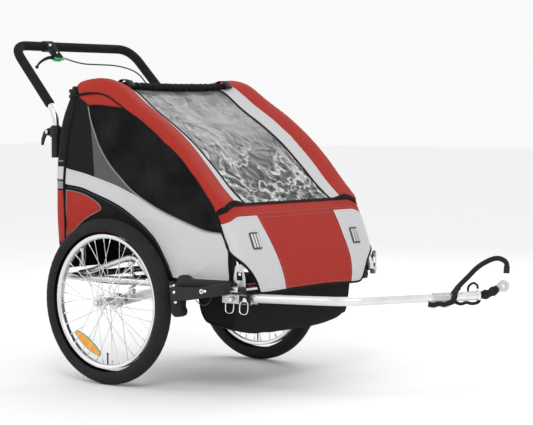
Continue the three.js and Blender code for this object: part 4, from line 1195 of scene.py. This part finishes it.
def build_sides():
    seam = drawn(SEAM_LINE[1:8] + [(-204, 418)], 24)
    strip_low = drawn(STRIP_LOW, 30)
    strip_top = drawn(STRIP_TOP, 20)
    net_edge = drawn(NET_EDGE, 40)
    gore = drawn(GORE_EDGE, 14)
    front = drawn(SIDE_FRONT, 20)
    # black lower part round the wheel
    lower = [p for p in seam if p[1] < 590] + arch(26) + list(reversed(strip_low))
    side_cloth("arch_cloth", lower, "black", lift=-0.8, replaces=["side_panel_"])
    # black gore behind the netting, up to the rear seam
    top_gore = [(-156, 866), (-140, 866), (-112, 858), (-104, 836)]
    upper = top_gore + gore[1:] + list(reversed([p for p in strip_top if p[0] < -82])) \
        + list(reversed([p for p in seam if 650 < p[1] < 861]))
    side_cloth("rear_gore", upper, "black")
    meet = [p for p in net_edge if p[0] < 128]
    grey = list(reversed(meet)) + gore[1:] + [p for p in strip_top if p[0] > -79]
    side_cloth("grey_gore", grey, "dark", lift=0.3)
    light = strip_top + [p for p in net_edge if p[0] > 130] + [p for p in front if p[1] < 468] \
        + [(340, 334)] + list(reversed(strip_low))
    side_cloth("light_side", light, "light", lift=0.2, step=8)
    side_cloth("red_corner", drawn(RED_CORNER + RED_CORNER[:1], 40)[:-1], "red", lift=0.5)
    wedge = [(-150, 868)] + drawn(BAND_EDGE[1:6], 14) + [(44, 830)] \
        + drawn(WEDGE_LOW, 8, backwards=True)[1:] + [(-112, 846)]
    side_cloth("red_wedge", wedge, "red", lift=0.2)
    side_cloth("side_netting", NET_OUTLINE, "netting", reach=net_reach)
    side_piping("net_piping", NET_EDGE, 2.1, "piping")
    side_piping("net_top_binding", [(-104, 837), (-60, 837), (-15, 833), (30, 828), (60, 818)], 3.2,
                "binding", lift=0.2)
    side_piping("band_piping", BAND_EDGE, 4.2, "binding", 90, lift=2.0)
    rear_seam = [(-152, 886)] + SEAM_LINE[1:-1] + [(-206, 338)]
    both(tube([(p.x, -SEAM_Y - 5 - 3 * hump((p.y - 330) / 540), p.y) for p in along(rear_seam, 60)], 4.8, 12),
         "rear_seam", "binding", "chassis", bend=BENT, angle=80)
    side_piping("red_corner_edge", RED_CORNER + RED_CORNER[:1], 1.2, "piping", lift=0.8)
    side_piping("gore_edge", GORE_EDGE, 1.3, "binding", lift=0.6)
    side_piping("strip_low_edge", STRIP_LOW[:-1], 1.5, "binding", lift=0.6)
    side_piping("front_edge_piping", SIDE_FRONT, 3.4, "binding", lift=0.8)
    side_piping("base_hem", [(244, 336), (340, 336), (450, 336)], 2.6, "light", lift=0.5)
    both(tube([(x, -side_reach(x, z) - 0.2, z) for x, z in arch(50)], 3.6, 10), "arch_binding", "binding",
         "chassis", bend=BENT, angle=80)
    seams = []
    for line, lift, count in ((STRIP_TOP[:-1], 0.9, 60), (STRIP_LOW[1:-1], 0.9, 60),
                              (NET_EDGE[:-1], 1.0, 90)):
        offset = [Vector((p.x, p.y - 6)) if line is not STRIP_LOW[1:-1] else Vector((p.x, p.y + 6))
                  for p in along(line, count)]
        seams.append(stitches([(p.x, -(side_reach(p.x, p.y) + lift), p.y) for p in offset]))
    both(join(seams), "side_stitches", "middle", "chassis", bend=BENT)
    # a black sheet behind the side's front edge, down to the bracket
    dark_fill_outline = [(450, 425), (462, 428), (474, 396), (482, 360), (486, 330), (470, 322), (452, 334), (454, 376)]
    shape = filled(dark_fill_outline, 9, lambda x, z: (x, -327.4, z))
    both(shape, "front_dark_fill", "black", "chassis", bend=BENT, thickness=1, angle=80)


def depth(s):
    """How far the roof's middle lies under its side bands, along the roof from 0 to 1."""
    start = clamped(s / 0.1)
    return 12 * start * start * (3 - 2 * start) + 21 * max(0, math.sin(math.pi * s ** 0.9)) ** 0.8


ROWS = 84
CROWN = along(ROOF_LINE, ROWS + 1)
LOW_EDGE = along(BAND_EDGE, ROWS + 1)


def crown_at(i):
    before, after = CROWN[max(i - 1, 0)], CROWN[min(i + 1, ROWS)]
    t = (after - before).normalized()
    return CROWN[i], Vector((-t.y, t.x))


def band_section(i):
    top, n = crown_at(i)
    low = LOW_EDGE[i]
    s = i / ROWS
    d = depth(s)
    wobble = 1.2 * rough(s * 14, 0.5, 0)
    steps = [
        (SIDE_Y + 2.5 + 4 * hump(s), low), (SIDE_Y + 5 + 4 * hump(s), low.lerp(top, 0.25) + n * 2),
        (SIDE_Y + 3, low.lerp(top, 0.5) + n * 4), (SIDE_Y - 3, low.lerp(top, 0.74) + n * 4.5),
        (SIDE_Y - 11, low.lerp(top, 0.92) + n * 2.4), (CROWN_Y + 6, top + n * 0.6), (CROWN_Y - 6, top),
        (CROWN_Y - 20, top - n * (d * 0.13)), (CROWN_Y - 35, top - n * (d * 0.25)),
        (BAND_INNER, top - n * (d * BAND_DROP)),
    ]
    points = []
    for j, (y, p) in enumerate(steps):
        pucker = 0.7 * rough(s * 95, j * 0.45, 5.5) * (1 if j < 7 else 1.6)
        points.append((p.x, -(y + wobble + pucker), p.y + pucker))
    return points


def corner_section(i):
    """The band's rear end turns in towards the corner knob."""
    narrow = 1 - 0.14 * (1 - i / REAR_ROWS) ** 1.4
    return [(x, y * narrow, z) for x, y, z in band_section(i)]


def window_point(i, y):
    """A point of the sheet between the bands; the sheet meets the window's edges and sags between them."""
    top, n = crown_at(i)
    s = i / ROWS
    across = max(0, 1 - (y / WINDOW_HALF) ** 2)
    p = top - n * (depth(s) + 7 * across * hump(s))
    return (p.x, y, p.y)


WINDOW_FIRST = 18
REAR_ROWS = 5


def vinyl_wrinkle(x, y, z):
    """Heights of the clear sheet's folds: long soft ones above, sharp crumples near the bottom edge."""
    down = clamped((790 - z) / 230)
    near = clamped((40 - y) / 240)
    bend = Vector((rough(x / 80, y / 80, z / 80), rough(y / 70, z / 70, x / 70)))
    p = (x - z) * 0.72 + 40 * bend.x
    q = y + 40 * bend.y
    long_fold = 7 * rough(p / 190, q / 75, 1.3)
    first = rough(p / 70, q / 62, 7.9)
    second = rough(p / 38, q / 34, 3.1)
    crumple = 9 * math.exp(-(first / 0.11) ** 2) + 5 * math.exp(-(second / 0.14) ** 2) - 3
    return long_fold * (0.5 + 0.5 * near) + crumple * max(0.06, down ** 1.3, 0.3 * near)


def build_roof():
    rows = [band_section(i) for i in range(ROWS + 1)]
    rows.append([Vector(p) + Vector((5.5, 0, -11)) for p in rows[-1]])
    both(grid(rows[REAR_ROWS:]), "roof_band", "red", "roof_frame", thickness=1.4, angle=80, held="stretched")
    both(grid([corner_section(i) for i in range(REAR_ROWS + 1)]), "rear_corner", "black", "roof_frame",
         thickness=1.4, angle=80, held="stretched")
    strip = []
    for i in range(ROWS + 1):
        top, n = crown_at(i)
        d = depth(i / ROWS)
        strip.append([(p.x, -y, p.y) for y, p in (
            (BAND_INNER + 1, top - n * (d * (BAND_DROP - 0.02))), (BAND_INNER - 15, top - n * (d * 0.66)),
            (BAND_INNER - 30, top - n * (d * 0.86)), (WINDOW_HALF, top - n * (d + 0.5)))])
    both(grid(strip[WINDOW_FIRST - 2:]), "light_strip", "light", "roof_frame", thickness=1.2, angle=80,
         held="stretched")
    across = [-BAND_INNER + 2 * BAND_INNER * j / 24 for j in range(25)]
    cover = []
    for i in range(WINDOW_FIRST + 1):
        top, n = crown_at(i)
        d = depth(i / ROWS)
        row = []
        for y in across:
            edge = max(0, 1 - abs(y) / BAND_INNER)
            sink = d * (BAND_DROP + (1 - BAND_DROP) * min(1, edge * 7))
            sink += 9 * hump(i / WINDOW_FIRST) * (1 - (y / BAND_INNER) ** 2)
            ripple = 1.6 * rough(i / 7, y / 60, 4.2)
            p = top - n * (sink + ripple)
            row.append((p.x, y, p.y))
        cover.append(row)
    place(grid(cover[REAR_ROWS:]), "roof_sheet", "red", "roof_frame", ["roof_cover"], thickness=1.4, angle=80,
          held="stretched")
    place(grid(cover[:REAR_ROWS + 1]), "roof_rear", "black", "roof_frame", thickness=1.4, angle=80,
          held="stretched")
    zipper = []
    for sign in (-1, 1):
        line = [window_point(i, sign * (WINDOW_HALF + 1)) for i in range(WINDOW_FIRST, ROWS + 1)]
        zipper.append(tube([Vector(p) + Vector((0.6, 0, 0.9)) for p in line], 3.1, 10))
    place(join(zipper), "window_binding", "binding", "front_cover", angle=80)
    build_window()
    build_roll()


def build_window():
    cells = 104
    rows = []
    for k in range(0, 2 * (ROWS - WINDOW_FIRST) + 1):
        i = WINDOW_FIRST + k / 2
        low, high = math.floor(i), math.ceil(i)
        row = []
        for j in range(cells + 1):
            y = WINDOW_HALF * (2 * j / cells - 1)
            p = (Vector(window_point(low, y)) + Vector(window_point(high, y))) / 2
            _, n = crown_at(low)
            pin = min(1, (1 - abs(y) / WINDOW_HALF) * 9) * min(1, k / 5)
            pin *= min(1, (2 * (ROWS - WINDOW_FIRST) - k) / 4)
            p += Vector((n.x, 0, n.y)) * vinyl_wrinkle(*p) * pin
            row.append(p)
        rows.append(row)
    place(grid(rows), "clear_window", "vinyl", "front_cover", ["window_pane"], angle=180, held="stretched")


def build_roll():
    """The rolled-up cover at the window's top: a ruched black roll with a buckle at its left end."""
    centre, n = crown_at(WINDOW_FIRST - 1)
    rows = []
    count = 220
    for k in range(count + 1):
        y = -BAND_INNER - 4 + (2 * BAND_INNER + 8) * k / count
        sink = depth(0.22) - 10 + 6 * hump(k / count)
        middle = Vector((centre.x, y, centre.y)) - Vector((n.x, 0, n.y)) * sink
        ruche = 1 + 0.13 * math.sin(k * 0.62 + 2 * rough(k / 30, 0, 0)) + 0.05 * math.sin(k * 1.7)
        radius = 12.5 * ruche * (0.75 + 0.25 * hump(0.08 + 0.84 * k / count))
        rows.append([middle + Vector((math.cos(a) * radius * 1.5, 0, math.sin(a) * radius))
                     for a in turns(20)])
    place(capped(rows), "rolled_cover", "black", "roof_frame", angle=80)
    buckles = []
    for y in (-BAND_INNER + 22, BAND_INNER - 22):
        middle = Vector((centre.x, y, centre.y)) - Vector((n.x, 0, n.y)) * (depth(0.22) - 11)
        ring = [middle + Vector((math.cos(a) * 23, 0, math.sin(a) * 17)) for a in turns(40)]
        buckles.append(sweep(ring, flat_section(20, 2.2), up=lambda p, m=middle: Vector(p) - m, closed=True))
        face = middle + Vector((18, 0, 12))
        buckles.append(sweep([face, face + Vector((14, 0, -16))], flat_section(28, 8), up=(0.7, 0, 0.7)))
    place(join(buckles), "roll_straps", "webbing", "roof_frame", angle=50, slot="black_fabric")


# ---- front panel ----
CORNER_U = 296
CORNER_RADIUS = 32
FRONT_HALF = 346
FRONT = along([(404, 596)] + FRONT_LINE + [(500, 280)], 90)


def front_x(z):
    for a, b in zip(FRONT, FRONT[1:]):
        if b.y <= z <= a.y:
            return a.x + (b.x - a.x) * (a.y - z) / (a.y - b.y)
    return FRONT[0].x if z > FRONT[0].y else FRONT[-1].x


def front_lift(extra=0.0):
    def lift(u, z):
        x = front_x(z) + 1.5 * rough(u / 50, z / 50, 6.6)
        x += 5 * hump((z - 290) / 260) * max(0, 1 - (u / 300) ** 2)
        recess = clamped((z - 520) / 40)
        x -= 13 * recess ** 1.5 * clamped((250 - abs(u)) / 50)
        if abs(u) <= CORNER_U:
            return (x + extra, u, z)
        angle = (abs(u) - CORNER_U) / CORNER_RADIUS
        angle = min(angle, math.pi / 2)
        sign = 1 if u > 0 else -1
        out = CORNER_RADIUS * (1 + 0.16 * math.sin(2 * angle) ** 2) + extra
        y = CORNER_U + out * math.sin(angle)
        return (x - CORNER_RADIUS + out * math.cos(angle), sign * y, z)
    return lift


def corner_edge(sign):
    """The cut-away lower corner of the front panel, from its side edge down to its bottom edge."""
    points = [(FRONT_HALF, 446), (340, 420), (322, 398), (302, 378), (281, 356), (264, 330), (252, 308),
              (238, 298)]
    return [(sign * u, z) for u, z in points]


def smooth_2d(points, count):
    return [(p.x, p.z) for p in smooth([(u, 0, z) for u, z in points], count)]


def front_sheet(name, outline, surface, extra=0.0, replaces=()):
    shape = filled(outline, CLOTH_STEP, front_lift(extra))
    return place(shape, name, surface, "front_cover", replaces, thickness=1.2, angle=80, held="stretched")


def front_tube(name, points, radius, surface, extra=1.5, count=60):
    lift = front_lift(extra)
    chain = [lift(u, z) for u, z in smooth_2d(points, count)]
    return place(tube(chain, radius, 10), name, surface, "front_cover", angle=80)


def strip_drop(u):
    """How far the front's horizontal seams drop towards the corners."""
    t = clamped((abs(u) - 272) / (FRONT_HALF - 272))
    return 24 * t * t * (3 - 2 * t)


def build_front():
    right_corner, left_corner = smooth_2d(corner_edge(-1), 26), smooth_2d(corner_edge(1), 26)
    across = [FRONT_HALF * (i / 32 - 1) for i in range(65)]
    top = [(u, 547 - strip_drop(u)) for u in across]
    red = top + left_corner + list(reversed(right_corner))
    front_sheet("front_red", red, "red", replaces=["front_panel"])
    under = [(u, 517 - 0.85 * strip_drop(u)) for u in across]
    near = [p for p in under if p[0] <= -192] + [(-192, 517), (-160, 410), (-128, 299)] \
        + [p for p in reversed(right_corner)]
    far = [p for p in under if p[0] >= 178] + left_corner + [(194, 297), (196, 376), (186, 450), (178, 516)]
    front_sheet("front_light_right", near, "light", extra=1.0)
    front_sheet("front_light_left", far, "light", extra=1.0)
    band_rows = []
    lift = front_lift(1.6)
    for k in range(5):
        t = k / 4
        row = []
        for u in across:
            inner = clamped((262 - abs(u)) / 46)
            z_top = 563 - 10 * inner - strip_drop(u)
            z_low = 546 - strip_drop(u)
            x, y, z = lift(u, z_low + (z_top - z_low) * t)
            row.append((x + 1.6 * hump(t), y, z))
        band_rows.append(row)
    place(grid(band_rows), "front_top_band", "binding", "front_cover", thickness=2.4, angle=80)
    outline = [(-FRONT_HALF, 540)] + corner_edge(-1) + [(-128, 299), (60, 301), (194, 297)] \
        + list(reversed(corner_edge(1))) + [(FRONT_HALF, 540)]
    front_tube("front_edge", outline, 3.6, "binding", extra=0.4, count=160)
    for name, line in (("front_seam_right", [(-192, 517), (-160, 410), (-128, 300)]),
                       ("front_seam_left", [(178, 516), (186, 450), (196, 376), (194, 298)])):
        front_tube(name, line, 1.0, "red", extra=1.6)
    raised = front_lift(1.4)
    seams = []
    for line in ([(u, 511 - 0.85 * strip_drop(u)) for u in across[3:-3]],
                 [(u, 523 - 0.85 * strip_drop(u)) for u in across[3:-3]],
                 [(-184, 510), (-152, 408), (-121, 304)], [(170, 510), (178, 448), (188, 376), (187, 304)],
                 [(-236, 306), (-110, 308), (60, 309), (188, 305), (236, 306)]):
        seams.append(stitches([raised(u, z) for u, z in smooth_2d(line, 60)]))
    place(join(seams), "front_stitches", "middle", "front_cover")
    for tag, u, z in (("right", -237, 447), ("left", 246, 438)):
        build_badge(tag, u, z)


def build_badge(tag, u, z):
    """A ribbed, rounded clip plate sewn to the front."""
    lift = front_lift(2.2)
    outline = []
    width, height, corner = 20, 24, 6
    for cx, cz, start in ((1, 1, 0), (-1, 1, 90), (-1, -1, 180), (1, -1, 270)):
        for k in range(6):
            a = math.radians(start + 18 * k)
            outline.append((u + cx * (width - corner) + corner * math.cos(a),
                            z + cz * (height - corner) + corner * math.sin(a)))
    plate_shape = filled(outline, 5, lambda a, b: lift(a, b))
    place(plate_shape, f"badge_{tag}", "dark", "front_cover", thickness=4.0, angle=40, bevel=0.7)
    ribs = []
    for k in (-1, 0, 1):
        raised = front_lift(5.0)
        line = [raised(u + 12 * k, z + t) for t in (-19, -9, 0, 9, 19)]
        ribs.append(tube(line, 4.0, 12))
    place(join(ribs), f"badge_ribs_{tag}", "badge", "front_cover", angle=60)


# ---- rear panel ----
REAR_COUNT = 100
REAR = along(REAR_LINE, REAR_COUNT + 1)
SEAM = along(SEAM_LINE, 200)


def seam_x(z):
    return min(SEAM, key=lambda p: abs(p.y - z)).x


def rear_point(i, v, lift=0.0):
    """The rear wall from its right seam (v = -1) to its left (v = 1), at a height along its outline."""
    base = REAR[i]
    x_seam = seam_x(base.y)
    radius = 22
    flat = SEAM_Y - radius
    corner = 0.5 * (radius + 50)
    reach = abs(v) * (flat + 0.5 * math.pi * corner)
    s = i / REAR_COUNT
    soft = 3.2 * rough(v * 5, base.y / 90, 8.8) * hump(s)
    if reach <= flat:
        y, x = reach, base.x
    else:
        angle = (reach - flat) / corner
        y = flat + radius * math.sin(angle)
        x = base.x + (x_seam - base.x) * (1 - math.cos(angle))
        soft *= math.cos(angle)
        lift *= math.cos(angle)
    return (x - soft - lift, y if v > 0 else -y, base.y)


REAR_BANDS = [
    ("rear_black", 886, 649, "black"), ("rear_light", 649, 610, "light"), ("rear_tape", 610, 606, "binding"),
    ("rear_middle", 606, 583, "middle"), ("rear_gap", 583, 576, "binding"), ("rear_red", 576, 420, "red"),
    ("rear_hem", 420, 334, "black"),
]


def rear_row(z):
    """The rear wall's row nearest to a height."""
    return min(range(REAR_COUNT + 1), key=lambda k: abs(REAR[k].y - z))


def build_rear():
    columns = [-1 + 2 * j / 64 for j in range(65)]
    for name, high, low, surface in REAR_BANDS:
        rows = [i for i in range(REAR_COUNT + 1) if low - 3 <= REAR[i].y <= high + 3]
        shape = grid([[rear_point(i, v) for v in columns] for i in rows])
        nodes = ["rear_panel"] if name == "rear_black" else []
        place(shape, name, surface, "chassis", nodes, thickness=1.2, angle=80, bend=BENT, held="stretched")
    flap = [tube([rear_point(rear_row(z), v * 0.97, 1.5) for v in columns], 2.0, 8) for z in (668, 610)]
    place(join(flap), "rear_piping", "piping", "chassis", bend=BENT, angle=80)
    zipper = []
    for t in range(61):
        v = -0.62 + 1.24 * t / 60
        z = 700 + 118 * hump(0.5 + 0.5 * math.sin(math.pi * (t / 60 - 0.5)) * 0.98) ** 0.35
        zipper.append(rear_point(rear_row(z), v, 1.2))
    place(tube(smooth(zipper, 120), 2.6, 8), "rear_zip", "binding", "chassis", bend=BENT, angle=80)


# ---- inside ----
TUB_HALF = 272
TUB_SAG = 26


def build_inside():
    tub_line = [(-196, 295), (284, 293), (292, 262), (300, 232), (318, 208), (344, 200), (404, 193),
                (420, 198), (428, 232), (434, 272), (436, 299)]
    profile = along(tub_line, 70)
    rows = []
    for p in profile:
        row = []
        for j in range(41):
            v = -1 + 2 * j / 40
            y = TUB_HALF * (1 if v > 0 else -1) * abs(v) ** 0.9
            soft = 2.5 * rough(p.x / 60, y / 50, p.y / 60)
            sag = 3 * (1 - v * v) + TUB_SAG * (1 - v ** 4) * clamped((260 - p.y) / 50)
            row.append((p.x, y, p.y - sag - soft))
        rows.append(row)
    tub = place(grid(rows), "floor_cloth", "black", "chassis", ["floor_tub"], thickness=1.6,
                angle=80)
    wall = [(284, 294), (292, 262), (300, 232), (318, 207), (344, 200), (404, 192), (420, 198), (428, 232),
            (434, 272), (436, 300)]
    shape = filled(wall, 10, lambda x, z: (x, 2.2 * rough(x / 40, z / 40, 1) - TUB_HALF, z))
    both(shape, "tub_wall", "black", "chassis", thickness=1.4, angle=80)
    edge = [(x, -TUB_HALF - 1, z) for x, z in wall]
    both(tube(smooth(edge, 60), 2.2, 8), "tub_binding", "binding", "chassis", angle=80)

    for node in ("seat_cushion", "seat_back"):
        build_pad(node)
    for side in (-1, 1):
        build_harness(side)
    build_roof_tubes()


PAD_BEND = ("rear_frame", (-90, 0, 420), (-150, 0, 800))
PAD_SHRINK = Vector((0.96, 0.985, 0.97))
PAD_CELL = 0.006  # the pads are swelled and sewn in metres
PAD_SWELL = 0.009
PAD_CROWN = 0.005
PAD_SEAM = 0.0045
SWELL_STEPS = 14


def build_pad(node):
    """A cushion from its CAD block, shrunk a little, swelled by cloth pressure and sewn into channels."""
    source = frame["nodes"][node]
    mesh = source.data.copy()
    pad = bpy.data.objects.new(f"{node}_padded", mesh)
    pad.matrix_world = source.matrix_world
    bpy.context.scene.collection.objects.link(pad)
    bpy.context.view_layer.update()
    mesh.transform(pad.matrix_world)
    pad.matrix_world.identity()
    middle = sum((v.co for v in mesh.vertices), Vector()) / len(mesh.vertices)
    for vertex in mesh.vertices:
        offset = vertex.co - middle
        vertex.co = middle + offset * PAD_SHRINK
    remesh = pad.modifiers.new("even", "REMESH")
    remesh.mode = "VOXEL"
    remesh.voxel_size = PAD_CELL
    settle(pad)
    rest = [v.co.copy() for v in pad.data.vertices]
    cloth = pad.modifiers.new("swell", "CLOTH")
    cloth.settings.use_pressure = True
    cloth.settings.uniform_pressure_force = 4
    cloth.settings.effector_weights.gravity = 0
    cloth.settings.quality = 6
    for step in range(SWELL_STEPS):
        bpy.context.scene.frame_set(step + 1)
    settle(pad)
    bpy.context.scene.frame_set(1)
    flat = "z" if node == "seat_cushion" else "x"
    size = [max(p[k] for p in rest) - min(p[k] for p in rest) for k in range(3)]
    for vertex, start in zip(pad.data.vertices, rest):
        move = vertex.co - start
        if move.length > PAD_SWELL:
            move *= PAD_SWELL / move.length
        across = (start.y - middle.y) / (size[1] / 2)
        length = (start.x - middle.x) / (size[0] / 2) if flat == "z" else (start.z - middle.z) / (size[2] / 2)
        crown = (1 - across ** 4) * (1 - length ** 4)
        seam = math.exp(-((abs(across) - 0.03) / 0.02) ** 2)
        channel = max(math.exp(-((abs(length) - line) / 0.035) ** 2) for line in (0.05, 0.5))
        dent = PAD_SEAM * max(seam, 0.75 * channel) * crown
        face = Vector((0, 0, 1)) if flat == "z" else Vector((0.985, 0, 0.14))
        side = 1 if (start - middle).dot(face) > 0 else -0.3
        vertex.co = start + move * 0.6 + face * side * (PAD_CROWN * crown - dent)
    smoother = pad.modifiers.new("soft", "SUBSURF")
    smoother.levels = 1
    smoother.render_levels = 1
    settle(pad)
    pad.data.materials.clear()
    pad.data.materials.append(SURFACES["seat"])
    for polygon in pad.data.polygons:
        polygon.use_smooth = True
    if node == "seat_back":
        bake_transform(pad)
    else:
        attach(pad, "chassis")
    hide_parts(node)


HARNESS_Y = 122


def seat_lean(z):
    """Where the front of the seat back is at a height."""
    return -58 - (z - 412) * 58 / 394


def on_seat(outline, thickness, lift):
    """An outline across the seat back, as a plate that follows its lean."""
    shape = plate(outline, 0, thickness)
    return Shape([(seat_lean(p.z) + lift + p.y, p.x, p.z) for p in shape.points], shape.faces)


def build_harness(side):
    """Two shoulder straps with a chest clip and a buckle, on the seat back."""
    tag = "right" if side < 0 else "left"
    straps = []
    for offset in (-38, 38):
        y = side * HARNESS_Y + offset
        line = smooth([(seat_lean(z) + 1.5 + 3 * hump((z - 430) / 330), y + 0.02 * offset * (z - 600) / 50, z)
                       for z in (432, 500, 560, 620, 690, 758)], 60)
        straps.append(sweep(line, flat_section(24, 1.8), up=(0, 1, 0)))
    middle = side * HARNESS_Y
    clip = on_seat([(middle - 50, 608), (middle + 50, 608), (middle + 50, 632), (middle - 50, 632)], 8, 3)
    buckle = on_seat([(middle - 26, 428), (middle + 26, 428), (middle + 30, 440), (middle + 22, 462),
                      (middle - 22, 462), (middle - 30, 440)], 13, 2)
    lap = smooth([(seat_lean(436) + 3, middle - 54, 440), (seat_lean(440) + 9, middle - 28, 446),
                  (seat_lean(440) + 9, middle + 28, 446), (seat_lean(436) + 3, middle + 54, 440)], 24)
    place(join(straps + [sweep(lap, flat_section(26, 1.8), up=(0, 0, 1))]), f"harness_straps_{tag}",
          "webbing", "chassis", [f"harness_{tag}"], angle=50, bend=PAD_BEND)
    place(clip, f"harness_clip_{tag}", "black_plastic", "chassis", bevel=2, bend=PAD_BEND)
    place(buckle, f"harness_buckle_{tag}", "black_plastic", "chassis", bevel=3, bend=PAD_BEND)


def build_roof_tubes():
    line = along(ROOF_LINE, 40)
    chain = []
    for i in range(2, 40):
        before, after = line[i - 1], line[min(i + 1, 39)]
        t = (after - before).normalized()
        chain.append((line[i].x + t.y * 15.5, -309, line[i].y - t.x * 15.5))
    foot = smooth([chain[-1], (431, -309, 482), (462, -312, 402), (485, -316, 352), (488, -316, 330)], 16)
    both(tube(chain + foot[1:], 9.5, 16), "roof_bow", "silver", "roof_frame", ["roof_tube_"], angle=60)


build_sides()
build_roof()
build_front()
build_rear()
build_inside()
build_wheels()
build_chassis()
build_hitch()
build_handle()

bpy.context.scene.view_settings.view_transform = "Standard"
